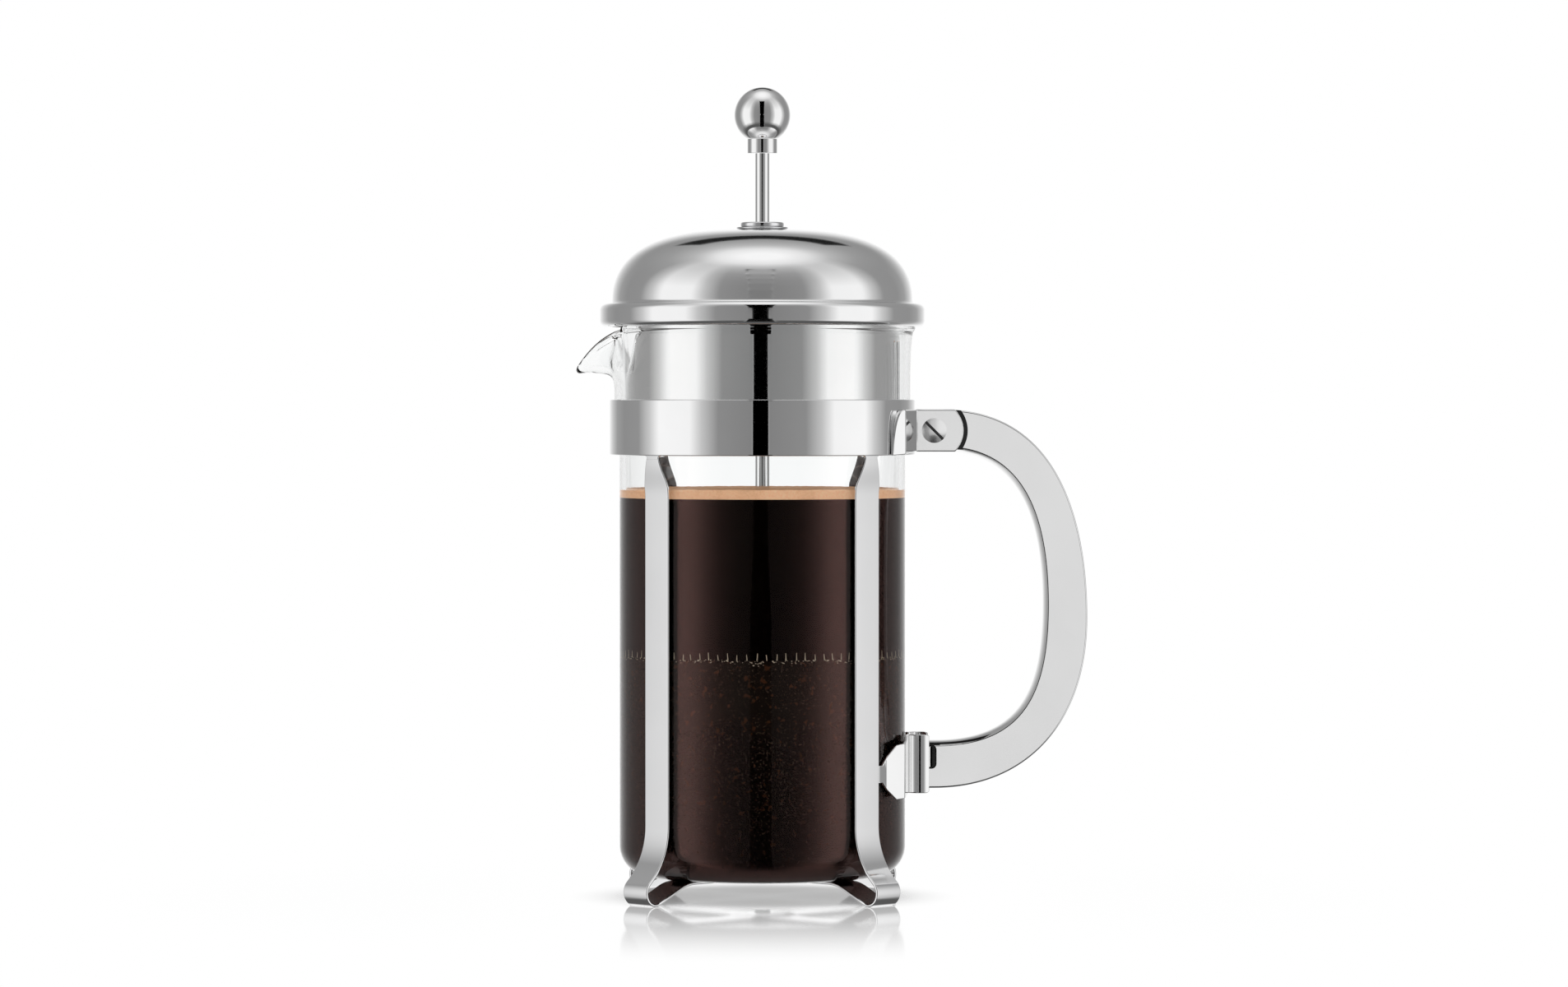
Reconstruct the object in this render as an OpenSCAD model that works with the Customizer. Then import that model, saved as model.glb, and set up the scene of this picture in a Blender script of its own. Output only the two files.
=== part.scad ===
// French press: a glass beaker in a steel frame with a D-shaped handle, a domed lid and a plunger.
// Millimetres, +Z up. The origin is on the table, under the beaker's axis.
// The handle points along +X and the spout along -X.

/* [Beaker] */
// Outside radius of the glass below the band
beaker_r = 47.5; // [47.3:0.1:47.5]
// Thickness of the glass
glass_t = 2; // [2:0.1:2.2]
// Outside radius of the glass above the band, where the lid's skirt fits
neck_r = 49.2; // [49.1:0.05:49.4]
// Height of the glass's rim above the table
rim_z = 190.4; // [188:0.1:194]
// Outside radius of the rounded rim
bead_r = 50.7; // [50.3:0.1:50.8]
// How far the tip of the spout is from the beaker's axis
spout_reach = 62.1; // [60:0.1:64]

/* [Frame] */
// Thickness of the frame's sheet steel
sheet_t = 1; // [0.8:0.1:1]
// Outside radius of the band around the glass
band_r = 50.8; // [50.6:0.1:51.2]
// Height of the band's lower edge
band_z0 = 147.1; // [145:0.1:148]
// Height of the band's upper edge
band_z1 = 165.5; // [163:0.1:168]
// Width of a leg
leg_w = 11; // [9:0.5:13]
// Width of a leg's neck, where it leaves the band
neck_w = 5.3; // [4:0.1:8]
// Outside radius of the loop that each foot rests on
foot_r = 4.6; // [4.2:0.1:5]

/* [Handle] */
// Thickness of the handle, front to back
handle_t = 16; // [14:0.5:18]
// Furthest reach of the handle from the beaker's axis
handle_reach = 107.8; // [104:0.1:112]
// Radius of the handle screw's head
screw_head_r = 4.1; // [3.5:0.1:4.5]

/* [Lid] */
// Thickness of the lid's sheet steel
lid_t = 0.8; // [0.6:0.1:0.9]
// Outside radius of the lid's rolled rim
lid_rim_r = 54; // [53.8:0.1:55]
// Height of the top of the dome
dome_z = 221.8; // [219:0.1:224]
// Outside radius of the strainer skirt, inside the glass
skirt_r = 45.7; // [45:0.1:46]
// Number of strainer slots in the skirt
slot_count = 10; // [4:2:16]

/* [Plunger] */
// Radius of the rod
rod_r = 2.33; // [2:0.01:2.5]
// Radius of the knob
knob_r = 9.3; // [8:0.1:11]
// Height of the knob's centre, part way down
knob_z = 260; // [258:0.5:264]
// Height of the filter mesh's upper face, part way down
filter_z = 44.2; // [42:0.1:60]

/* [Hidden] */
$fn = 96;
big = 400;             // larger than the whole object
over = 0.5;            // how far a cutter reaches past a face
fit = 0.05;            // radial running clearance of a shaft in a hole

// Frame: the straps lie under the glass and stand a little off its wall
strap_top = 7.2;                          // upper face of the cross, where the glass rests
strap_z = strap_top - sheet_t / 2;        // middle of the upper strap
leg_gap = 0.35;                           // between the glass and a leg
leg_path_r = beaker_r + leg_gap + sheet_t / 2;
band_path_r = band_r - sheet_t / 2;
foot_reach = 58.2;                        // centreline of the outermost part of a foot
foot_path_r = foot_r - sheet_t / 2;
foot_z = foot_r - 0.1;                    // sinks the loop a little, so that its sole is flat
knee_r = 23.5;                            // the leg's outward curve above the foot
knee_angle = 47;
rise_angle = 25;                          // the strip climbs inwards from the foot at this angle
rise_r = 17;
dip_r = [7.5, 11];                        // the lower strap climbs back between these radii
swell_z = [131, 145.5];                   // a leg moves out to the band between these heights
taper_z = [134.5, 146.3];                 // and narrows to its neck between these
neck_fillet = 0.8;
rivet_r = 1.6;
rivet_head_r = 3;
rivet_head_h = 0.9;
rivet_bevel = 0.6;

// Glass
flare_z = [148.5, 157.5];                 // the wall flares out between these heights
corner_r = 10;
bead_z = rim_z - 2.6;                     // widest part of the rounded rim
bead_foot = 6;                            // the rim starts to swell this far below its top
bead_round = 1.6;
spout_root = [-44, 188];                  // centre of the disc that the spout grows from, [x, z]
spout_root_r = 15.5;
spout_tip_z = 174.9;
spout_tip_r = 2.2;
spout_t = 1.8;                            // the spout's wall
droop_c = [-33.5, 157.7];                 // the spout's top edge droops along this arc
droop_r = 33.3;

// Handle and its fixings; points on the outline are [x, z]
screw_x = 57;
screw_z = 155.2;
screw_r = 2.5;
screw_hole_r = 2.6;
screw_head_h = 1;
screw_slot = [0.9, 0.5];                  // width and depth
nut_r = 4.6;
nut_h = 3;
nut_cap_r = 3.6;
nut_cap_h = 1.6;
screw_end = nut_h + 0.4;                  // how far the screw reaches into the nut
cheek_t = 1;
cheek_start = -35;                        // angle at which a cheek leaves the band
cheek_gap = 0.02;                         // a cheek clears the band by this much
cheek_fold = [46.8, -25.3];               // where its wing folds back, seen from above
cheek_valley_x = 50.95;                   // and where it turns out along the handle
cheek_fold_r = 0.8;
cheek_end_r = 9.85;                       // round end of a cheek, about the screw
shoulder_r = 11.1;                        // the handle's shoulder, around the cheek's end
tongue_half = handle_t / 2 - cheek_t;     // the handle's tongue fits between the cheeks
handle_top = 162.2;
handle_under = 148.2;
lower_top = 52.2;
lower_under = 36.6;
lower_end_x = 49.6;
grip_z = 93;                              // height of the handle's furthest reach
grip_w = 14.5;                            // width of the bar there
upper_end_x = 52;
notch_x = [54.2, 57.8];                   // the notch that takes a lug's tab
notch_z = [43, 51];
notch_depth = 2.4;
lug_z0 = 35;
lug_z1 = 54.4;
lug_end_x = 55.9;
lug_start = -43;                          // angle at which a lug starts, inside a leg
lug_fan = -32.3;                          // angle at which its fan leaves the glass
lug_fold = [46.6, -22.3];                 // where it folds back towards the handle
lug_valley = [48.3, -7.6];                // where it turns out into the sleeve
lug_fold_r = 0.6;
sleeve_c = [52.3, -5.85];                 // the sleeve swells round the handle's side
sleeve_r = 3.8;
sleeve_arc = [-50, 48];                   // angles from the front
lug_tab_end = 75;                         // the tab goes on to here, into the handle's notch
lug_tab_z = [43.6, 50.4];
lug_round = 2;

// Lid
rim_lip_z = rim_z - lid_t;                // underside of the rolled rim
rim_top_z = 197.3;
rim_round = 1.7;
rim_inner_r = 51.1;                       // the rolled rim ends here
dome_foot_r = 49.9;
dome_foot_z = 198.4;
dome_shoulder_z = 212;
dome_flat_r = 10;
dome_swell_r = 38;
cove_r = 1.5;
insert_r = lid_rim_r - lid_t / 2 - rim_round - fit;   // what fits inside the rolled rim
skirt_z0 = 158;
slot_w = 1.4;
slot_pitch = 4.5;                         // degrees
slot_z = [161, 185];
plate_t = 1.2;                            // the inner plate, its lip, hub and ribs
plate_lip_t = 1.4;
plate_hub_r = 5.2;
plate_hub_h = 9;
plate_bore_r = rod_r + 0.3;
rib_t = 1.6;
rib_h = 4;
rib_angles = [0:60:300];

// Rod guide, clamped through the dome's crown
barrel_r = 4;
barrel_z0 = 208;
washer_t = 1.1;
washer_r = 8.6;
washer_seat_r = 6.2;
washer_lip = [0.5, 0.8];                  // heights of the washer's edge above the dome
washer_top_r = 7.4;
disc_r = 7.2;
disc_t = 1.5;
guide_top = dome_z + washer_t + disc_t;
guide_nut_h = 4;
guide_nut_r = 7.5;
nut_gap = 0.05;

// Plunger
collar_r = 4.93;
collar_z0 = 247.3;
collar_z1 = knob_z - sqrt(knob_r * knob_r - collar_r * collar_r);
rod_end_z = knob_z + 0.5;                 // top of the rod's socket in the knob
stud_r = 1.9;
plate_z = filter_z;                       // underside of the spiral plate
hub_flange_r = 9;
hub_flange_t = 1;
hub_r = 5;
hub_h = 7;
spiral_r = 42.4;
spiral_edge_t = 0.6;
spiral_edge_h = 2.6;
drip_hole_r = 1.5;
drip_circle_r = 34;
drip_angles = [15:30:345];
coil_r = 1.4;                             // half the width of the coil around the spiral plate
coil_gap = 0.05;
coil_path_r = spiral_r + coil_gap + coil_r;
mesh_r = 45.2;
mesh_t = 0.6;
mesh_edge = 4.7;                          // how far the mesh's edge turns down
mesh_round = 1;
cross_t = 1;
cross_r = 40;
cross_rim_w = 5;
cross_hub_r = 10;
cross_arm = 4;                            // half the width of an arm
boss_r = 6;
boss_h = 5;

// ---- Shape helpers ----

// Points on an arc about c, from angle a0 to a1 in n steps
function arc(c, r, a0, a1, n = 8) =
    [for (i = [0:n]) let (a = a0 + (a1 - a0) * i / n) c + r * [cos(a), sin(a)]];

// Points on the cubic Bezier curve with four control points
function bezier(p, n = 16) =
    [for (i = [0:n]) let (t = i / n, s = 1 - t)
        s * s * s * p[0] + 3 * s * s * t * p[1] + 3 * s * t * t * p[2] + t * t * t * p[3]];

// A smooth step from [r0, z0] to [r1, z1], vertical at both ends
function ease(r0, z0, r1, z1, n = 8) =
    [for (i = [0:n]) [r0 + (r1 - r0) * (1 - cos(180 * i / n)) / 2, z0 + (z1 - z0) * i / n]];

// A corner at b on the way from a to c, rounded to radius r
function corner(a, b, c, r, n = 6) =
    let (
        u = unit(a - b),
        v = unit(c - b),
        half = acos(u * v) / 2,
        o = b + unit(u + v) * r / sin(half),
        s = b + u * r / tan(half) - o,
        turn = (u[1] * v[0] - u[0] * v[1] > 0 ? 1 : -1) * (180 - 2 * half),
        a0 = atan2(s[1], s[0]))
    arc(o, r, a0, a0 + turn, n);

// A path through the points p, with each inner corner rounded
function rounded_path(p, r) = [
    p[0],
    for (i = [1:len(p) - 2]) each corner(p[i - 1], p[i], p[i + 1], r),
    p[len(p) - 1]];

function reversed(p) = [for (i = [len(p) - 1:-1:0]) p[i]];
function rest(p) = [for (i = [1:len(p) - 1]) p[i]];
function mirrored(p) = [for (q = p) [-q[0], q[1]]];
function unit(v) = v / norm(v);
// The path's normal at point i
function normal(p, i) =
    let (d = unit(p[min(i + 1, len(p) - 1)] - p[max(i - 1, 0)])) [-d[1], d[0]];
// The outline of a strip of thickness t whose middle follows the path p
function ribbon(p, t) = concat(
    [for (i = [0:len(p) - 1]) p[i] + normal(p, i) * t / 2],
    [for (i = [len(p) - 1:-1:0]) p[i] - normal(p, i) * t / 2]);

// An [x, z] outline as a slab between y0 and y1
module slab(y0, y1) {
    translate([0, y1, 0])
        rotate([90, 0, 0])
            linear_extrude(y1 - y0) children();
}

module ring(r_out, r_in, z0, z1) {
    translate([0, 0, z0])
        difference() {
            cylinder(r = r_out, h = z1 - z0);
            translate([0, 0, -over]) cylinder(r = r_in, h = z1 - z0 + 2 * over);
        }
}

// A rod along Y through [x, z], from y0 to y1
module y_rod(x, z, r, y0, y1) {
    translate([x, y1, z]) rotate([90, 0, 0]) cylinder(r = r, h = y1 - y0);
}

// ---- Frame ----

// The middle of a strap in [radius, z], from the centre out to a foot and up a leg.
// The lower strap dips by dip where it passes under the upper one.
knee_turn = 90 - knee_angle;
foot_c = [foot_reach - foot_path_r, foot_z];
rise_end = foot_c + foot_path_r * [cos(270 - rise_angle), sin(270 - rise_angle)];
rise_start = [
    rise_end[0] - (strap_z - rise_end[1] - rise_r * (1 - cos(rise_angle))) / tan(rise_angle),
    strap_z - rise_r * (1 - cos(rise_angle))
];
rise_c = rise_start - rise_r * [sin(rise_angle), cos(rise_angle)];
loop_end = foot_c + foot_path_r * [cos(knee_turn), sin(knee_turn)];
knee_c = [leg_path_r + knee_r, 0];
knee_end_r = knee_c[0] - knee_r * cos(knee_angle);
knee_end_z = loop_end[1] + (loop_end[0] - knee_end_r) * tan(knee_turn);
knee_z = knee_end_z + knee_r * sin(knee_angle);

function half_strap(dip) = concat(
    dip > 0 ? [[0, strap_z - dip], [dip_r[0], strap_z - dip], [dip_r[1], strap_z]] : [[0, strap_z]],
    arc(rise_c, rise_r, 90, 90 - rise_angle, 6),
    arc(foot_c, foot_path_r, -90 - rise_angle, knee_turn, 14),
    reversed(arc([knee_c[0], knee_z], knee_r, 180, 180 + knee_angle, 8)),
    ease(leg_path_r, swell_z[0], band_path_r, swell_z[1], 8),
    [[band_path_r, band_z0]]);

// The outline of a strap seen square on to its legs
module strap_outline() {
    half = concat(
        [[leg_w / 2, 0]],
        ease(leg_w / 2, taper_z[0], neck_w / 2, taper_z[1], 8),
        arc([neck_w / 2 + neck_fillet, band_z0 - neck_fillet], neck_fillet, 180, 90, 4));
    polygon(concat(half, reversed(mirrored(half))));
}

module strap(angle, dip) {
    path = half_strap(dip);
    rotate([0, 0, angle])
        difference() {
            intersection() {
                slab(-leg_w / 2, leg_w / 2)
                    polygon(ribbon(concat(reversed(mirrored(path)), rest(path)), sheet_t));
                rotate([0, 0, 90]) slab(-big / 2, big / 2) strap_outline();
            }
            cylinder(r = rivet_r, h = strap_top + over);
        }
}

module frame_band() {
    color("silver") ring(band_r, band_r - sheet_t, band_z0, band_z1);
}

module leg_strap_a() {
    color("silver") strap(-45, 0);
}

module leg_strap_b() {
    color("silver") strap(45, sheet_t);
}

// Joins the two straps at the centre of the cross
module base_rivet() {
    head_z = strap_top - 2 * sheet_t;
    color("gainsboro") {
        cylinder_between(rivet_r, head_z, strap_top);
        translate([0, 0, head_z])
            rotate_extrude()
                polygon([[0, 0], [rivet_head_r, 0], [rivet_head_r - rivet_bevel, -rivet_head_h],
                    [0, -rivet_head_h]]);
    }
}

module cylinder_between(r, z0, z1) {
    translate([0, 0, z0]) cylinder(r = r, h = z1 - z0);
}

// A cheek of the handle's upper bracket: its wing leaves the band, folds back along it
// and turns out into a plate beside the handle's tongue.
module cheek() {
    plate_y = -handle_t / 2 + cheek_t / 2;
    wing_r = band_r + cheek_t / 2 + cheek_gap;
    end_x = screw_x + cheek_end_r + 1;    // past the round end, which the outline cuts
    path = rounded_path([
        wing_r * [cos(cheek_start), sin(cheek_start)],
        cheek_fold,
        [cheek_valley_x, plate_y],
        [end_x, plate_y]], cheek_fold_r);
    difference() {
        intersection() {
            translate([0, 0, band_z0])
                linear_extrude(handle_top - band_z0)
                    polygon(ribbon(path, cheek_t));
            slab(-big / 2, 0) cheek_outline();
        }
        y_rod(screw_x, screw_z, screw_hole_r, -handle_t, handle_t);
    }
}

// A cheek seen from the front, in [x, z]: the wing's free edge curves back towards the top
module cheek_outline() {
    a = asin((handle_top - screw_z) / cheek_end_r);
    polygon(concat(
        [[50.5, handle_under]],
        arc([screw_x, screw_z], cheek_end_r, -a, a, 12),
        bezier([[46.6, handle_top], [44.2, handle_top], [43, 156], [42.6, band_z0]], 8)));
}

module handle_cheek_front() {
    color("silver") cheek();
}

module handle_cheek_rear() {
    color("silver") mirror([0, 1, 0]) cheek();
}

// ---- Handle ----

// The D-shaped bar; its inner side runs parallel to the outer one, a little thinner in the middle
module handle_outline() {
    top_outer = bezier([[62, handle_top], [100.5, handle_top], [handle_reach, 122], [handle_reach, grip_z]]);
    low_outer = bezier([[handle_reach, grip_z], [handle_reach, 59], [88.5, lower_under], [57, lower_under]]);
    inner_x = handle_reach - grip_w;
    low_inner = bezier([[57, lower_top], [85.5, lower_top], [inner_x, 68], [inner_x, 97.5]]);
    top_inner = bezier([[inner_x, 97.5], [inner_x, 127], [85, handle_under], [61, handle_under]]);
    polygon(concat(
        [[upper_end_x, handle_top]], top_outer, low_outer,
        [[lower_end_x, lower_under], [lower_end_x, lower_top]], low_inner, top_inner,
        [[upper_end_x, handle_under]]));
}

module handle() {
    half = handle_t / 2;
    color("whitesmoke")
        difference() {
            slab(-half, half) handle_outline();
            for (side = [-1, 1]) {
                // recess for a cheek, which leaves the tongue between the two
                translate([0, side * (half + tongue_half) / 2, 0])
                    slab(-cheek_t / 2, cheek_t / 2) {
                        translate([screw_x, screw_z]) circle(r = shoulder_r);
                        translate([upper_end_x - over, handle_under - over])
                            square([screw_x - upper_end_x + over, handle_top - handle_under + 2 * over]);
                    }
                // notch that the lug's tab hooks into
                translate([notch_x[0], side * half - notch_depth, notch_z[0]])
                    cube([notch_x[1] - notch_x[0], 2 * notch_depth, notch_z[1] - notch_z[0]]);
            }
            y_rod(screw_x, screw_z, screw_hole_r, -handle_t, handle_t);
        }
}

// Slotted screw from the front, through both cheeks and the tongue
module handle_screw() {
    head_y = -handle_t / 2;
    color("gainsboro")
        difference() {
            union() {
                y_rod(screw_x, screw_z, screw_r, head_y, -head_y + screw_end);
                translate([screw_x, head_y, screw_z])
                    rotate([90, 0, 0])
                        rotate_extrude()
                            polygon([[0, 0], [screw_head_r, 0], [screw_head_r, screw_head_h / 2],
                                [screw_head_r - screw_head_h / 2, screw_head_h], [0, screw_head_h]]);
            }
            translate([screw_x, head_y - screw_head_h, screw_z])
                rotate([0, 45, 0])
                    cube([3 * screw_head_r, 2 * screw_slot[1], screw_slot[0]], center = true);
        }
}

// Hexagonal cap nut behind the rear cheek
module handle_nut() {
    y0 = handle_t / 2;
    color("gainsboro")
        difference() {
            union() {
                translate([screw_x, y0 + nut_h, screw_z])
                    rotate([90, 0, 0])
                        cylinder(r = nut_r, h = nut_h, $fn = 6);
                y_rod(screw_x, screw_z, nut_cap_r, y0 + nut_h, y0 + nut_h + nut_cap_h);
            }
            y_rod(screw_x, screw_z, screw_r, y0 - over, y0 + screw_end);
        }
}

// A lug from a leg to the handle's lower end: its fan leaves the glass, folds back and
// turns out into a sleeve, whose tab hooks into the handle's notch.
module lug() {
    fan = leg_path_r * [cos(lug_fan), sin(lug_fan)];
    sleeve_start = sleeve_c + sleeve_r * [sin(sleeve_arc[0]), -cos(sleeve_arc[0])];
    path = concat(
        arc([0, 0], leg_path_r, lug_start, lug_fan, 4),
        rest(rounded_path([fan, lug_fold, lug_valley, sleeve_start], lug_fold_r)),
        rest(arc(sleeve_c, sleeve_r, sleeve_arc[0] - 90, sleeve_arc[1] - 90, 12)));
    difference() {
        intersection() {
            linear_extrude(lug_z1) polygon(ribbon(path, sheet_t));
            slab(-big / 2, 0) lug_outline();
        }
        // ends on the leg's edge
        rotate([0, 0, -45]) translate([0, -leg_w / 2, 0]) cube([big, leg_w, big]);
    }
    translate([0, 0, lug_tab_z[0]])
        linear_extrude(lug_tab_z[1] - lug_tab_z[0])
            polygon(ribbon(arc(sleeve_c, sleeve_r, sleeve_arc[1] - 90, lug_tab_end - 90, 6), sheet_t));
}

// A lug seen from the front, in [x, z]: a fan that narrows towards the leg
module lug_outline() {
    polygon(concat(
        [[36, 39.6], [39.3, 39.6], [44, 33.8], [47.8, lug_z0]],
        arc([lug_end_x - lug_round, lug_z0 + lug_round], lug_round, -90, 0, 4),
        arc([lug_end_x - lug_round, lug_z1 - lug_round], lug_round, 0, 90, 4),
        [[47.6, lug_z1], [47.2, 53], [44, 51.7], [39.3, 45.3], [36, 45.3]]));
}

module handle_lug_front() {
    color("silver") lug();
}

module handle_lug_rear() {
    color("silver") mirror([0, 1, 0]) lug();
}

// ---- Beaker ----

function beaker_wall(inset) = concat(
    arc([beaker_r - corner_r, strap_top + corner_r], corner_r - inset, -90, 0, 10),
    ease(beaker_r - inset, flare_z[0], neck_r - inset, flare_z[1], 8));

module glass_profile() {
    polygon(concat(
        [[0, strap_top]],
        beaker_wall(0),
        ease(neck_r, rim_z - bead_foot, bead_r, bead_z, 5),
        arc([bead_r - bead_round, rim_z - bead_round], bead_round, 0, 90, 5),
        arc([neck_r - glass_t + bead_round / 2, rim_z - bead_round / 2], bead_round / 2, 90, 180, 3),
        reversed(beaker_wall(glass_t)),
        [[0, strap_top + glass_t]]));
}

// A body that narrows from a disc on the beaker's wall to a ball at the spout's tip
module spout_body(root_r, tip_r, tip_z) {
    hull() {
        translate([spout_root[0], 0, spout_root[1]])
            rotate([0, 90, 0])
                cylinder(r = root_r, h = 0.5, $fn = 32);
        translate([spout_tip_r - spout_reach, 0, tip_z]) sphere(r = tip_r, $fn = 32);
    }
}

module glass_beaker() {
    color([0.8, 0.88, 0.9, 0.35])
        difference() {
            union() {
                rotate_extrude() glass_profile();
                // the spout's top edge droops along a large arc
                intersection() {
                    spout_body(spout_root_r, spout_tip_r, spout_tip_z);
                    y_rod(droop_c[0], droop_c[1], droop_r, -neck_r, neck_r);
                }
            }
            spout_body(spout_root_r - spout_t, spout_tip_r / 2, spout_tip_z + spout_tip_r / 2);
            cylinder_between(neck_r - glass_t, flare_z[1], rim_z + over);
        }
}

// ---- Rod guide ----

// Flanged bushing that the rod slides in
module rod_guide() {
    color("silver")
        difference() {
            union() {
                cylinder_between(barrel_r, barrel_z0, guide_top);
                cylinder_between(disc_r, guide_top - disc_t, guide_top);
            }
            cylinder_between(rod_r + fit, barrel_z0 - over, guide_top + over);
        }
}

// Dished washer between the bushing's head and the dome
module guide_washer() {
    color("gainsboro")
        translate([0, 0, dome_z])
            rotate_extrude()
                polygon([[barrel_r, 0], [washer_seat_r, 0], [washer_r, washer_lip[0]],
                    [washer_r, washer_lip[1]], [washer_top_r, washer_t], [barrel_r, washer_t]]);
}

// Hexagonal nut that clamps the dome against the washer
module guide_nut() {
    z1 = dome_z - lid_t - nut_gap;
    color("gray")
        difference() {
            translate([0, 0, z1 - guide_nut_h]) cylinder(r = guide_nut_r, h = guide_nut_h, $fn = 6);
            cylinder_between(barrel_r, z1 - guide_nut_h - over, z1 + over);
        }
}

// ---- Lid ----

// One sheet: the dome, a small cove, and the rim rolled down and under
module lid_dome() {
    dome_path_r = dome_foot_r - lid_t / 2;
    rim_path_r = lid_rim_r - lid_t / 2;
    top_path_z = rim_top_z - lid_t / 2;
    lip_path_z = rim_lip_z + lid_t / 2;
    path = concat(
        [[barrel_r + 2 * fit, dome_z - lid_t / 2]],
        bezier([[dome_flat_r, dome_z - lid_t / 2], [dome_swell_r, dome_z - lid_t / 2],
            [dome_path_r, dome_shoulder_z], [dome_path_r, dome_foot_z]], 22),
        rest(arc([dome_path_r + cove_r, top_path_z + cove_r], cove_r, 180, 270, 5)),
        arc([rim_path_r - rim_round, top_path_z - rim_round], rim_round, 90, 0, 5),
        arc([rim_path_r - rim_round, lip_path_z + rim_round], rim_round, 0, -90, 5),
        [[rim_inner_r, lip_path_z]]);
    color("silver") rotate_extrude() polygon(ribbon(path, lid_t));
}

// Strainer sleeve with a flange that rests on the glass; its slots face the handle
module lid_skirt() {
    color("lightgray")
        difference() {
            union() {
                ring(skirt_r, skirt_r - lid_t, skirt_z0, rim_z + lid_t);
                ring(insert_r, skirt_r - lid_t, rim_z, rim_z + lid_t);
            }
            for (i = [0:slot_count - 1])
                rotate([0, 0, (i - (slot_count - 1) / 2) * slot_pitch])
                    translate([skirt_r - 2 * lid_t, -slot_w / 2, slot_z[0]])
                        cube([3 * lid_t, slot_w, slot_z[1] - slot_z[0]]);
        }
}

// Moulded plate that closes the dome from below and steadies the rod
module lid_inner_plate() {
    z0 = rim_z + lid_t;
    color("dimgray")
        difference() {
            union() {
                cylinder_between(insert_r, z0, z0 + plate_t);
                ring(insert_r, insert_r - plate_lip_t, z0, rim_top_z - lid_t);
                cylinder_between(plate_hub_r, z0, z0 + plate_hub_h);
                for (a = rib_angles)
                    rotate([0, 0, a])
                        translate([plate_bore_r, -rib_t / 2, z0])
                            cube([insert_r - plate_lip_t / 2 - plate_bore_r, rib_t, rib_h]);
            }
            cylinder_between(plate_bore_r, z0 - over, z0 + plate_hub_h + over);
        }
}

// ---- Plunger ----

module knob_ball() {
    color("silver")
        difference() {
            translate([0, 0, knob_z]) sphere(r = knob_r);
            cylinder_between(knob_r, knob_z - knob_r - over, collar_z1);
            cylinder_between(rod_r, collar_z1 - over, rod_end_z);
        }
}

module knob_collar() {
    color("silver") ring(collar_r, rod_r, collar_z0, collar_z1);
}

// Polished rod with a thinner threaded stud that the filter plates slip onto
module plunger_rod() {
    color("gainsboro") {
        cylinder_between(rod_r, plate_z + lid_t, knob_z);
        cylinder_between(stud_r, plate_z - mesh_t - boss_h, plate_z + lid_t);
    }
}

// Boss on the rod that clamps the stack from above
module filter_hub() {
    z0 = plate_z + lid_t;
    color("silver")
        difference() {
            union() {
                cylinder_between(hub_flange_r, z0, z0 + hub_flange_t);
                cylinder_between(hub_r, z0 + hub_flange_t, z0 + hub_h);
            }
            cylinder_between(rod_r, z0 - over, z0 + hub_h + over);
        }
}

// Upper plate with a turned-up edge that carries the spring
module spiral_plate() {
    color("silver")
        difference() {
            union() {
                cylinder_between(spiral_r, plate_z, plate_z + lid_t);
                ring(spiral_r, spiral_r - spiral_edge_t, plate_z, plate_z + spiral_edge_h);
            }
            cylinder_between(stud_r, plate_z - over, plate_z + lid_t + over);
            for (a = drip_angles)
                rotate([0, 0, a])
                    translate([drip_circle_r, 0, plate_z - over])
                        cylinder(r = drip_hole_r, h = lid_t + 2 * over);
        }
}

// The coil around the upper plate's edge, as the round ring that it fills
module edge_spring() {
    color("gray")
        translate([0, 0, plate_z + coil_gap + coil_r])
            rotate_extrude() translate([coil_path_r, 0]) circle(r = coil_r, $fn = 32);
}

// Fine mesh disc whose edge turns down along the glass
module mesh_filter() {
    mesh_bend = concat(
        [[mesh_r - 2 * mesh_round, -mesh_t / 2]],
        arc([mesh_r - mesh_round, -mesh_round], mesh_round - mesh_t / 2, 90, 0, 4));
    color("darkgray")
        difference() {
            union() {
                cylinder_between(mesh_r - mesh_round, plate_z - mesh_t, plate_z);
                ring(mesh_r, mesh_r - mesh_t, plate_z - mesh_edge, plate_z - mesh_round);
                translate([0, 0, plate_z])
                    rotate_extrude()
                        polygon(ribbon(mesh_bend, mesh_t));
            }
            cylinder_between(stud_r, plate_z - mesh_t - over, plate_z + over);
        }
}

// Bottom plate with four wide openings and a threaded boss
module cross_plate() {
    z0 = plate_z - mesh_t - cross_t;
    color("silver")
        difference() {
            union() {
                cylinder_between(cross_r, z0, z0 + cross_t);
                cylinder_between(boss_r, z0 + cross_t - boss_h, z0 + cross_t);
            }
            for (a = [0:90:270])
                rotate([0, 0, a])
                    intersection() {
                        ring(cross_r - cross_rim_w, cross_hub_r, z0 - over, z0 + cross_t + over);
                        translate([cross_arm, cross_arm, 0]) cube([cross_r, cross_r, big]);
                    }
            cylinder_between(stud_r, z0 - boss_h, z0 + cross_t + over);
        }
}

frame_band();
leg_strap_a();
leg_strap_b();
base_rivet();
handle_cheek_front();
handle_cheek_rear();
handle();
handle_screw();
handle_nut();
handle_lug_front();
handle_lug_rear();
glass_beaker();
rod_guide();
guide_washer();
guide_nut();
lid_dome();
lid_skirt();
lid_inner_plate();
knob_ball();
knob_collar();
plunger_rod();
filter_hub();
spiral_plate();
edge_spring();
mesh_filter();
cross_plate();
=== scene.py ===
"""Looks of a french press: glass beaker, chromed frame with a D-shaped handle, domed lid and plunger.

Shapes are worked out in millimetres and stored in metres. +X is the handle's side, -X the spout's.
"""

import math
import random

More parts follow.
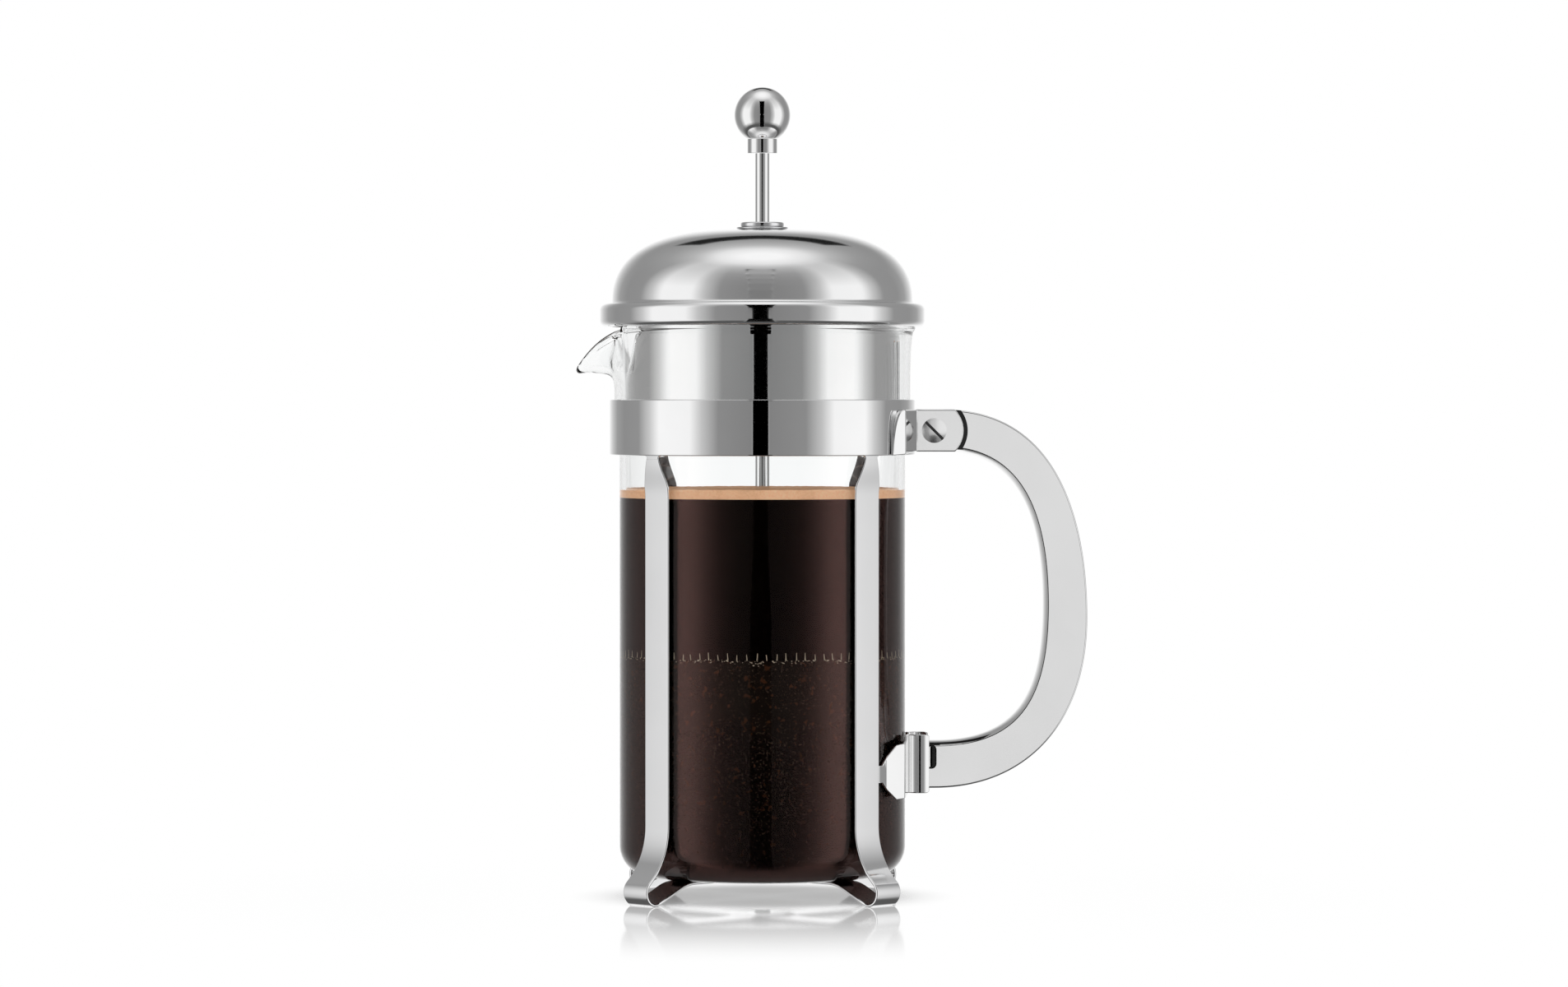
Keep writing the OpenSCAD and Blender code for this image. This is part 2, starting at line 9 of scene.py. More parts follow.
import bmesh
import bpy
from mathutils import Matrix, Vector


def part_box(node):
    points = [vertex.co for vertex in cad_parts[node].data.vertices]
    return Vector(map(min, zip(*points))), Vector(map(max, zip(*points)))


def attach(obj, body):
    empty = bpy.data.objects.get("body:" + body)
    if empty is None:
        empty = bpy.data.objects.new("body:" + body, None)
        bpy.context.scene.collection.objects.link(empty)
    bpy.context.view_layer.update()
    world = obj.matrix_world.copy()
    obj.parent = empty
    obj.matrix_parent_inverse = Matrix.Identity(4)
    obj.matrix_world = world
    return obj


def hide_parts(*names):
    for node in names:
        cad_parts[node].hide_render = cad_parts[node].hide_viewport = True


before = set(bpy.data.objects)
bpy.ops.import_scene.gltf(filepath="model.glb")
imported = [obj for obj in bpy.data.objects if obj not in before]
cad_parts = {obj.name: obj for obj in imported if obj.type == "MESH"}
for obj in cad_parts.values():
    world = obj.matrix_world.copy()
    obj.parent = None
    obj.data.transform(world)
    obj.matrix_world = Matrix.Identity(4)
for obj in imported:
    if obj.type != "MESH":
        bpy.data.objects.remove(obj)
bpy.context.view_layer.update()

MM = 0.001
ROUND = 168  # segments round a lathed piece


def low(node):
    """Lowest corner of a CAD node's box, in millimetres."""
    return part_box(node)[0] / MM


def high(node):
    """Highest corner of a CAD node's box, in millimetres."""
    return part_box(node)[1] / MM


# ---- Camera ----

AIM_Z = 134.2  # height that the camera looks at, on the beaker's axis
AIM_X = 7.2
CAMERA_Z = 166.0
CAMERA_DISTANCE = 2000.0
LENS = 138.0


def add_camera():
    data = bpy.data.cameras.new("camera")
    data.sensor_width = 36.0
    data.lens = LENS
    data.clip_end = 20.0
    camera = bpy.data.objects.new("camera", data)
    camera.location = Vector((AIM_X, -CAMERA_DISTANCE, CAMERA_Z)) * MM
    aim = Vector((AIM_X, 0.0, AIM_Z)) * MM
    camera.rotation_euler = (aim - camera.location).to_track_quat("-Z", "Y").to_euler()
    bpy.context.scene.collection.objects.link(camera)
    bpy.context.scene.camera = camera


# ---- Plane curves, in millimetres ----

def polar(r, degrees, x=0.0, y=0.0):
    """The point at distance r from (x, y) in a direction."""
    return x + r * math.cos(math.radians(degrees)), y + r * math.sin(math.radians(degrees))


def arc(cx, cy, r, a0, a1, n=8):
    """Points on a circle about (cx, cy) from angle a0 to a1, in degrees."""
    return [polar(r, a0 + (a1 - a0) * i / n, cx, cy) for i in range(n + 1)]


def bezier(p0, p1, p2, p3, n=24):
    points = []
    for i in range(n + 1):
        t = i / n
        w = ((1 - t) ** 3, 3 * t * (1 - t) ** 2, 3 * t * t * (1 - t), t ** 3)
        points.append(tuple(sum(k * p[j] for k, p in zip(w, (p0, p1, p2, p3))) for j in (0, 1)))
    return points


def ease(r0, z0, r1, z1, n=12):
    """A smooth step from (r0, z0) to (r1, z1), vertical at both ends."""
    steps = [((1 - math.cos(math.pi * i / n)) / 2, i / n) for i in range(n + 1)]
    return [(r0 + (r1 - r0) * out, z0 + (z1 - z0) * up) for out, up in steps]


def corner(a, b, c, r, n):
    """The corner at b, on the way from a to c, rounded to radius r."""
    a, b, c = Vector(a), Vector(b), Vector(c)
    u, v = (a - b).normalized(), (c - b).normalized()
    half = math.acos(max(-1.0, min(1.0, u.dot(v)))) / 2
    if half > math.radians(89.5) or r <= 0:
        return [tuple(b)]
    r = min(r, 0.49 * min((a - b).length, (c - b).length) * math.tan(half))
    o = b + (u + v).normalized() * r / math.sin(half)
    s = b + u * r / math.tan(half) - o
    start = math.degrees(math.atan2(s.y, s.x))
    turn = math.copysign(180 - 2 * math.degrees(half), u.y * v.x - u.x * v.y)
    return arc(o.x, o.y, r, start, start + turn, n)


def rounded(points, n=4):
    """A closed outline of (x, y, radius) points, with each corner rounded to its radius."""
    outline = []
    for i, (x, y, r) in enumerate(points):
        before, after = points[i - 1], points[(i + 1) % len(points)]
        outline += corner(before[:2], (x, y), after[:2], r, n) if r > 0 else [(x, y)]
    return outline


def rounded_path(points, r, n=6):
    """An open path with each inner corner rounded."""
    path = [points[0]]
    for i in range(1, len(points) - 1):
        path += corner(points[i - 1], points[i], points[i + 1], r, n)
    return path + [points[-1]]


def normals(path):
    """The left-hand normal at each point of an open path."""
    found = []
    for i in range(len(path)):
        a, b = path[max(i - 1, 0)], path[min(i + 1, len(path) - 1)]
        d = Vector((b[0] - a[0], b[1] - a[1])).normalized()
        found.append(Vector((-d.y, d.x)))
    return found


def ribbon(path, t):
    """Closed outline of a sheet of thickness t whose middle follows the path, with round ends."""
    n = normals(path)
    left = [(p[0] + k.x * t / 2, p[1] + k.y * t / 2) for p, k in zip(path, n)]
    right = [(p[0] - k.x * t / 2, p[1] - k.y * t / 2) for p, k in zip(path, n)]
    ends = []
    for p, k, side in ((path[-1], n[-1], -1), (path[0], n[0], 1)):
        a = math.degrees(math.atan2(k.y, k.x)) + (0 if side < 0 else 180)
        ends.append(arc(p[0], p[1], t / 2, a, a - 180, 6)[1:-1])
    return left + ends[0] + right[::-1] + ends[1]


def annulus(r0, r1, z0, z1, edge=0.25):
    """Outline of a ring with rounded edges; r0 may be 0."""
    inner = 0 if r0 == 0 else edge
    return rounded([(r0, z0, inner), (r1, z0, edge), (r1, z1, edge), (r0, z1, inner)])


# ---- Meshes ----

def make(name, points, faces, sharp=32, weighted=True):
    """A mesh object from points in millimetres, shaded smooth but for its sharp edges."""
    mesh = bpy.data.meshes.new(name)
    mesh.from_pydata([Vector(p) * MM for p in points], [], faces)
    return dress(name, mesh, sharp, weighted)


def dress(name, mesh, sharp=32, weighted=True):
    bm = bmesh.new()
    bm.from_mesh(mesh)
    bmesh.ops.remove_doubles(bm, verts=bm.verts, dist=1e-7)
    bmesh.ops.recalc_face_normals(bm, faces=bm.faces)
    bm.to_mesh(mesh)
    bm.free()
    mesh.polygons.foreach_set("use_smooth", [True] * len(mesh.polygons))
    mesh.set_sharp_from_angle(angle=math.radians(sharp))
    piece = bpy.data.objects.new(name, mesh)
    bpy.context.scene.collection.objects.link(piece)
    if weighted:
        modifier = piece.modifiers.new("even shading", "WEIGHTED_NORMAL")
        modifier.keep_sharp = True
    return piece


def lathe_data(outline, n=ROUND):
    """Points and faces of a closed (r, z) outline turned round the Z axis."""
    points, rings = [], []
    for r, z in outline:
        if r < 1e-6:
            rings.append([len(points)] * n)
            points.append((0, 0, z))
            continue
        rings.append(list(range(len(points), len(points) + n)))
        points += [(*polar(r, 360 * k / n), z) for k in range(n)]
    faces = []
    for i in range(len(rings)):
        a, b = rings[i], rings[(i + 1) % len(rings)]
        for k in range(n):
            j = (k + 1) % n
            face = list(dict.fromkeys((a[k], a[j], b[j], b[k])))
            if len(face) > 2:
                faces.append(face)
    return points, faces


def lathe(name, outline, n=ROUND, sharp=32):
    return make(name, *lathe_data(outline, n), sharp=sharp)


def prism_data(outline, y0, y1):
    """An (x, z) outline extruded from y0 to y1."""
    return skin([[(x, y, z) for x, z in outline] for y in (y0, y1)])


def spin(data, angle, move=(0, 0, 0)):
    """Points and faces turned about Z by an angle in degrees, then moved."""
    c, s = polar(1, angle)
    return [(x * c - y * s + move[0], x * s + y * c + move[1], z + move[2]) for x, y, z in data[0]], data[1]


def join(*parts):
    """Several lists of points and faces as one."""
    points, faces = [], []
    for p, f in parts:
        faces += [tuple(i + len(points) for i in face) for face in f]
        points += p
    return points, faces


def skin(sections, ring=False, tube=True):
    """Points and faces over sections of equal length, with capped ends or closed to a ring.

    A tube's sections are closed loops.
    """
    size, count = len(sections[0]), len(sections)
    points = [point for section in sections for point in section]
    faces = []
    for i in range(count if ring else count - 1):
        a, b = i * size, (i + 1) % count * size
        for k in range(size if tube else size - 1):
            j = (k + 1) % size
            faces.append((a + k, b + k, b + j, a + j))
    if not ring:
        faces += [tuple(range(size)), tuple(range(len(points) - 1, len(points) - size - 1, -1))]
    return points, faces


def applied(piece, kind, sharp, **settings):
    """The piece with one modifier of this kind applied for good."""
    piece.modifiers.clear()
    modifier = piece.modifiers.new("shape", kind)
    for key, value in settings.items():
        setattr(modifier, key, value)
    mesh = bpy.data.meshes.new_from_object(piece.evaluated_get(bpy.context.evaluated_depsgraph_get()))
    name = piece.name
    bpy.data.objects.remove(piece)
    mesh.name = name
    return dress(name, mesh, sharp)


def cut(piece, cutters, operation="DIFFERENCE", sharp=32):
    """The piece with the cutters' points and faces taken away, or joined to it."""
    tool = make(piece.name + "_cutter", *cutters, weighted=False)
    piece = applied(piece, "BOOLEAN", sharp, operation=operation, solver="EXACT", use_self=True, object=tool)
    bpy.data.objects.remove(tool)
    return piece


def wear(piece, material):
    piece.data.materials.clear()
    piece.data.materials.append(material)


def place(piece, body, material, slot, *nodes):
    """Gives a new piece its material and its body, and hides the CAD nodes it stands for. The slot is not
    used.
    """
    wear(piece, material)
    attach(piece, body)
    if nodes:
        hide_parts(*nodes)
    return piece


def keep(node, material):
    """A CAD node that shows as it is, with a better material."""
    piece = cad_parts[node]
    wear(piece, material)


# ---- Shader nodes ----

def node(owner, kind, inputs=None, **settings):
    """A new shader node in a material or world, with its inputs linked to sockets or set to values."""
    made = owner.node_tree.nodes.new(kind)
    for key, value in settings.items():
        setattr(made, key, value)
    for key, value in (inputs or {}).items():
        if isinstance(value, bpy.types.NodeSocket):
            owner.node_tree.links.new(value, made.inputs[key])
        else:
            made.inputs[key].default_value = value
    return made


def calculate(owner, operation, *values, clamp=False):
    made = node(owner, "ShaderNodeMath", dict(enumerate(values)), operation=operation, use_clamp=clamp)
    return made.outputs["Value"]


def remap(owner, value, a0, a1, b0=0.0, b1=1.0, **settings):
    """The value, moved from the range a0 to a1 into the range b0 to b1."""
    inputs = {"Value": value, "From Min": a0, "From Max": a1, "To Min": b0, "To Max": b1}
    return node(owner, "ShaderNodeMapRange", inputs, **settings).outputs["Result"]


def mix_colour(owner, factor, a, b):
    """A mix from colour a to colour b, each a socket or (red, green, blue)."""
    a, b = (c if isinstance(c, bpy.types.NodeSocket) else (*c[:3], 1.0) for c in (a, b))
    return node(owner, "ShaderNodeMix", {"Factor": factor, 6: a, 7: b}, data_type="RGBA").outputs[2]


# ---- Materials ----

def new_material(name, **sockets):
    """A material and the object's own coordinates in it."""
    material = bpy.data.materials.new(name)
    material.use_nodes = True
    for socket, value in sockets.items():
        shader_input(material, socket.replace("_", " ")).default_value = value
    return material, node(material, "ShaderNodeTexCoord").outputs["Object"]


def shader_input(material, socket):
    return material.node_tree.nodes["Principled BSDF"].inputs[socket]


def link(material, output, socket):
    material.node_tree.links.new(output, shader_input(material, socket))


def noise(material, at, scale, detail=3.0, stretch=(1, 1, 1), roughness=0.5):
    at = node(material, "ShaderNodeMapping", {"Vector": at, "Scale": stretch}).outputs["Vector"]
    inputs = {"Vector": at, "Scale": scale, "Detail": detail, "Roughness": roughness}
    return node(material, "ShaderNodeTexNoise", inputs).outputs["Fac"]


def paint(material, factor, a, b):
    """Gives the surface a mix of two colours."""
    link(material, mix_colour(material, factor, a, b), "Base Color")


def add_bump(material, height, strength, distance):
    """Roughens the surface by a height; the distance is in metres."""
    made = node(material, "ShaderNodeBump", {"Height": height, "Strength": strength, "Distance": distance})
    link(material, made.outputs["Normal"], "Normal")


def metal(name, tint, rough, smudge=0.02, grain=0.0, grain_scale=2500.0, stretch=(1, 1, 1), scratch=0.0):
    """Bare or plated metal: soft finger smudges in the gloss, fine grain, and hairline scratches."""
    material, at = new_material(name, Metallic=1.0, Roughness=rough)
    cloud = noise(material, at, 38.0, 4.0)
    both = calculate(material, "MULTIPLY", cloud, noise(material, at, 900.0, 2.0))
    link(material, remap(material, both, 0.12, 0.42, rough, rough + smudge), "Roughness")
    darker = [c * 0.965 for c in tint]
    paint(material, remap(material, cloud, 0.35, 0.65), tint, darker)
    heights = noise(material, at, grain_scale, 2.0, stretch)
    if scratch:
        hair = noise(material, at, 60.0, 6.0, (1.0, 1.0, 22.0), 0.75)
        heights = calculate(material, "ADD", heights, hair)
    add_bump(material, heights, max(grain, scratch), 0.00002)
    return material


def glass_material():
    material, at = new_material("clear_glass", Roughness=0.0, IOR=1.47, Transmission_Weight=1.0,
                                Specular_Tint=(0.38, 0.31, 0.29, 1.0))
    paint(material, noise(material, at, 30.0), (0.992, 0.994, 0.993), (0.984, 0.988, 0.986))
    add_bump(material, noise(material, at, 26.0, 1.0, (1.0, 1.0, 0.35)), 0.005, 0.0002)
    return material


COFFEE_LINE = 80.5  # height where the brewed coffee meets the suspended grounds
COFFEE_TOP = 132.9
FOAM_TOP = 136.1


def coffee_material():
    """Near-black coffee, with brown grounds suspended in its lower half."""
    material, at = new_material("brewed_coffee", Roughness=0.22, Specular_Tint=(0.60, 0.29, 0.25, 1.0))
    height = node(material, "ShaderNodeSeparateXYZ", {"Vector": at}).outputs["Z"]
    edge = calculate(material, "MULTIPLY_ADD", noise(material, at, 220.0, 3.0), 0.0022, height)
    below = remap(material, edge, (COFFEE_LINE + 1.1) * MM, (COFFEE_LINE + 0.6) * MM)
    # painted shade: the grounds darken towards the bottom, to near black just above the base
    depth = remap(material, height, 12.0 * MM, COFFEE_LINE * MM, 0.15, 1.0)
    speck = remap(material, noise(material, at, 1500.0, 2.0), 0.60, 0.70)
    crumb = remap(material, noise(material, at, 520.0, 3.0), 0.60, 0.68)
    cloud = noise(material, at, 60.0, 5.0)
    murk = mix_colour(material, cloud, (0.0040, 0.0028, 0.0020), (0.0140, 0.0105, 0.0078))
    murk = mix_colour(material, speck, murk, (0.050, 0.034, 0.022))
    murk = mix_colour(material, crumb, murk, (0.050, 0.019, 0.007))
    share = calculate(material, "MULTIPLY", below, depth)
    paint(material, share, (0.0006, 0.0003, 0.0002), murk)
    add_bump(material, speck, 0.25, 0.0001)
    return material


def foam_material():
    # painted light: the foam glows a little in its own colour, standing for the light that travels inside it
    material, at = new_material("foam", Roughness=0.7, Subsurface_Weight=0.15,
                                Subsurface_Radius=(0.002, 0.001, 0.0006), Emission_Strength=0.34)
    colour = mix_colour(material, noise(material, at, 1300.0), (0.66, 0.35, 0.18), (0.92, 0.58, 0.37))
    broad = remap(material, noise(material, at, 90.0), 0.4, 0.6, 0.0, 0.35)
    colour = mix_colour(material, broad, colour, (0.58, 0.30, 0.15))
    for socket in ("Base Color", "Emission Color"):
        link(material, colour, socket)
    cells = node(material, "ShaderNodeTexVoronoi", {"Vector": at, "Scale": 1400.0})
    add_bump(material, cells.outputs["Distance"], 0.5, 0.0003)
    return material


def bubble_glint_material():
    material, at = new_material("grounds_beads", Roughness=0.35)
    # a tan for the bubbles' own colour, which also colours the slivers of painted light
    paint(material, noise(material, at, 700.0, 2.0), (0.16, 0.12, 0.08), (0.74, 0.61, 0.44))
    add_bump(material, noise(material, at, 3000.0), 0.3, 0.00005)
    return material


def weave_material():
    """Fine woven wire: two crossed waves in the surface, with painted shade darkening the gaps."""
    material, at = new_material("woven_mesh", Metallic=1.0, Roughness=0.32)
    threads = []
    for turn in (0.0, math.pi / 2):
        turned = node(material, "ShaderNodeMapping", {"Vector": at, "Rotation": (0.0, 0.0, turn)})
        inputs = {"Vector": turned.outputs["Vector"], "Scale": 900.0, "Distortion": 0.0}
        wave = node(material, "ShaderNodeTexWave", inputs)
        threads.append(wave.outputs["Fac"])
    height = calculate(material, "MULTIPLY", *threads)
    # painted shade: the colour goes dark where the threads dip into the gaps
    paint(material, height, (0.16, 0.16, 0.165), (0.72, 0.72, 0.73))
    link(material, remap(material, height, 0.0, 1.0, 0.5, 0.25), "Roughness")
    add_bump(material, height, 0.8, 0.0002)
    return material


def plastic_material():
    material, at = new_material("black_plastic", Roughness=0.42)
    cloud = noise(material, at, 60.0, 4.0)
    paint(material, cloud, (0.020, 0.020, 0.021), (0.034, 0.034, 0.035))
    link(material, remap(material, cloud, 0.3, 0.7, 0.36, 0.5), "Roughness")
    add_bump(material, noise(material, at, 2600.0, 2.0), 0.15, 0.00008)
    return material


# ---- Frame: band, straps, rivet ----

SHEET = 1.0  # thickness of the frame's sheet steel
LEG_W = 11.0
NECK_W = 5.3
FOOT_R = 4.6  # outside radius of a foot's loop
FOOT_REACH = 58.2
KNEE_R = 23.5
KNEE_ANGLE = 47.0
RISE_ANGLE = 25.0
RISE_R = 17.0
STRAP_TOP = 7.2
LEG_GAP = 0.35  # between the glass and a leg
SWELL = (133.5, 146.0)  # a leg moves out to the band between these heights
TAPER = (137.0, 146.7)  # and narrows to its neck between these
NECK_FILLET = 0.8

beaker_r = 47.5
leg_r = beaker_r + LEG_GAP + SHEET / 2
band_r = high("frame_band").x
band_z = (low("frame_band").z, high("frame_band").z)


def frame_band(material):
    piece = lathe("frame_band_ring", annulus(band_r - SHEET, band_r, *band_z, edge=0.42))
    place(piece, "frame", material, "frame_chrome", "frame_band")


def half_strap(dip):
    """The middle of a strap from the centre, out to a foot and up a leg, as (radius, z)."""
    z = STRAP_TOP - SHEET / 2
    r = FOOT_R - SHEET / 2
    fx, fz = FOOT_REACH - r, FOOT_R - 0.1
    rise = math.radians(RISE_ANGLE)
    end_x, end_z = polar(r, -90 - RISE_ANGLE, fx, fz)
    drop = RISE_R * (1 - math.cos(rise))
    rise_x = end_x - (z - end_z - drop) / math.tan(rise) - RISE_R * math.sin(rise)
    knee_turn = 90 - KNEE_ANGLE
    loop_x, loop_z = polar(r, knee_turn, fx, fz)
    knee_x = leg_r + KNEE_R
    across, up = polar(KNEE_R, KNEE_ANGLE)
    knee_z = loop_z + (loop_x - knee_x + across) * math.tan(math.radians(knee_turn)) + up
    centre = [(0, z - dip), (7.5, z - dip), (11, z)] if dip else [(0, z)]
    path = centre + arc(rise_x, z - RISE_R, RISE_R, 90, 90 - RISE_ANGLE, 10)
    path += arc(fx, fz, r, -90 - RISE_ANGLE, knee_turn, 28)
    path += arc(knee_x, knee_z, KNEE_R, 180 + KNEE_ANGLE, 180, 20)
    path += [(leg_r, z) for z in (60.0, 90.0, 120.0)]
    path += ease(leg_r, SWELL[0], band_r - SHEET / 2, SWELL[1], 14)
    return path + [(band_r - SHEET / 2, band_z[0] - k) for k in (1.2, 0.8, 0.4, 0.0)]


def strap_half_width(z):
    """Half the width of a strap at a height: it narrows to its neck and spreads where it meets the band."""
    t = min(1.0, max(0.0, (z - TAPER[0]) / (TAPER[1] - TAPER[0])))
    half = LEG_W / 2 + (NECK_W - LEG_W) / 2 * (0.8 * t + 0.2 * (1 - math.cos(math.pi * t)) / 2)
    up = z - (band_z[0] - NECK_FILLET)
    if up > 0:
        half += NECK_FILLET - math.sqrt(max(0.0, NECK_FILLET ** 2 - min(up, NECK_FILLET) ** 2))
    return half


def strap(name, angle, dip, material, cad_node):
    half = half_strap(dip)
    path = [(-r, z) for r, z in half[::-1]] + half[1:]
    t, edge = SHEET / 2, 0.38
    sections = []
    for (r, z), n in zip(path, normals(path)):
        w = strap_half_width(z)
        outline = rounded([(-w, -t, edge), (w, -t, edge), (w, t, edge), (-w, t, edge)], 3)
        sections.append([(r + n.x * b, a, max(0.0, z + n.y * b)) for a, b in outline])
    piece = make(name, *spin(skin(sections), angle), sharp=40)
    place(piece, "frame", material, "frame_chrome", cad_node)


# ---- Frame: bent cheeks and lugs ----

def bent_sheet(name, path, outline, thickness, edge, mirror):
    """A sheet that follows a path seen from above. The outline is (x, z), seen from the front."""
    lengths = [0.0]
    for a, b in zip(path, path[1:]):
        lengths.append(lengths[-1] + math.dist(a, b))
    along = normals(path)

    def at(u):
        i = max(k for k in range(len(path) - 1) if lengths[k] <= max(u, 0.0))
        t = (u - lengths[i]) / (lengths[i + 1] - lengths[i])
        p = Vector(path[i]).lerp(Vector(path[i + 1]), t)
        return p, along[i].lerp(along[i + 1], min(1.0, max(0.0, t))).normalized()

    def length_at(x):
        for i in range(len(path) - 1):
            x0, x1 = path[i][0], path[i + 1][0]
            if x <= x1 or i == len(path) - 2:
                return lengths[i] + (x - x0) / (x1 - x0) * (lengths[i + 1] - lengths[i])

    flat = [(length_at(x), z) for x, z in outline]
    bm = bmesh.new()
    ring = [bm.verts.new((u, -thickness / 2, z)) for u, z in flat]
    face = bm.faces.new(ring)
    extruded = bmesh.ops.extrude_face_region(bm, geom=[face])
    top = [v for v in extruded["geom"] if isinstance(v, bmesh.types.BMVert)]
    bmesh.ops.translate(bm, verts=top, vec=(0, thickness, 0))
    bmesh.ops.recalc_face_normals(bm, faces=bm.faces)
    rims = [e for e in bm.edges if abs(e.verts[0].co.y - e.verts[1].co.y) < 1e-6]
    bmesh.ops.bevel(bm, geom=rims, offset=edge, segments=3, profile=0.5, affect="EDGES", clamp_overlap=True)
    for u in sorted(set(round(l, 4) for l in lengths[1:-1])):
        geom = bm.verts[:] + bm.edges[:] + bm.faces[:]
        bmesh.ops.bisect_plane(bm, geom=geom, dist=1e-4, plane_co=(u, 0, 0), plane_no=(1, 0, 0))
    for v in bm.verts:
        p, n = at(v.co.x)
        w = v.co.y
        v.co = Vector((p.x + n.x * w, (p.y + n.y * w) * mirror, v.co.z)) * MM
    mesh = bpy.data.meshes.new(name)
    bm.to_mesh(mesh)
    bm.free()
    return dress(name, mesh, 38)


HANDLE_T = 16.0  # thickness of the handle, front to back
SCREW = (57.0, 155.2)
CHEEK_T = 1.0
CHEEK_END_R = 9.85
HANDLE_TOP = 162.2
HANDLE_UNDER = 148.2


def cheek(name, side, material, cad_node):
    """A cheek of the upper bracket. side is 1 in front and -1 behind."""
    plate_y = -HANDLE_T / 2 + CHEEK_T / 2
    wing_r = band_r + CHEEK_T / 2 + 0.02
    end_x = SCREW[0] + CHEEK_END_R + 1
    path = rounded_path([polar(wing_r, -35.0), (46.8, -25.3), (50.95, plate_y), (end_x, plate_y)], 0.8)
    a = math.degrees(math.asin((HANDLE_TOP - SCREW[1]) / CHEEK_END_R))
    outline = [(50.5, HANDLE_UNDER)] + arc(*SCREW, CHEEK_END_R, -a, a, 28)
    outline += bezier((46.6, HANDLE_TOP), (44.2, HANDLE_TOP), (43.0, 156.0), (42.6, band_z[0]), 14)
    piece = bent_sheet(name, path, outline, CHEEK_T, 0.45, side)
    place(piece, "frame", material, "frame_chrome", cad_node)
    # the blade's root, which closes the gap to the band
    n = Vector((path[1][1] - path[0][1], path[0][0] - path[1][0])).normalized() * -1.0
    root = [(p[0] + n.x * 0.95, p[1] + n.y * 0.95) for p in (path[0], path[1])]
    foot, top = band_z[0] + 0.1, HANDLE_TOP - 0.1
    curve = bezier((43.1, 156.0), (44.3, top), (46.0, top), (46.2, top), 10)
    blade = [(42.75, foot)] + curve + [(46.2, foot)]
    place(bent_sheet(name + "_root", root, blade, 1.9, 0.2, side), "frame", material, "frame_chrome")


def lug(name, side, material, cad_node):
    """A lug from a leg to the handle's lower end, with a tab that hooks into the handle."""
    sleeve, sleeve_r, fold_r = (52.3, -5.85), 3.8, 0.6
    lug_z = (35.0, high("handle_lug_front").z)
    edge_angle = -45 + math.degrees(math.asin(LEG_W / 2 / leg_r))
    path = arc(0, 0, leg_r, edge_angle, -32.3, 5)
    folds = [path[-1], (46.6, -22.3), (48.3, -7.6), polar(sleeve_r, -140, *sleeve)]
    path = path[:-1] + rounded_path(folds, fold_r)
    path += arc(*sleeve, sleeve_r, -140, -42, 16)[1:]
    end_x, r = 55.9, 2.0
    outline = [(path[0][0], 39.6), (39.3, 39.6), (44.0, 33.8), (47.8, lug_z[0])]
    outline += arc(end_x - r, lug_z[0] + r, r, -90, 0, 6) + arc(end_x - r, lug_z[1] - r, r, 0, 90, 6)
    outline += [(47.6, lug_z[1]), (47.2, 53.0), (44.0, 51.7), (39.3, 45.3), (path[0][0], 45.3)]
    end = path[-1][0]
    piece = bent_sheet(name, path, [(min(x, end), z) for x, z in outline], SHEET, 0.3, side)
    tab_path = arc(*sleeve, sleeve_r, -46, -15, 8)
    tab = [(tab_path[0][0], 43.6), (tab_path[-1][0], 43.6), (tab_path[-1][0], 50.4), (tab_path[0][0], 50.4)]
    hook = bent_sheet(name + "_tab", tab_path, tab, SHEET, 0.2, side)
    place(hook, "frame", material, "frame_chrome")
    place(piece, "frame", material, "frame_chrome", cad_node)


# ---- Handle, screw and nut ----

GRIP_Z = 93.0
GRIP_W = 14.5
LOWER_TOP = 52.2
RECESS_R = 11.1  # the recess that takes a cheek, round the screw
NOTCH_DEPTH = 2.4  # and the notch that takes a lug's tab
NOTCH = ((54.2, 43.0, 0.3), (57.8, 43.0, 1.7), (57.8, 51.0, 1.7), (54.2, 51.0, 0.3))
CROWN = 1.6  # the handle's inner side swells by this much


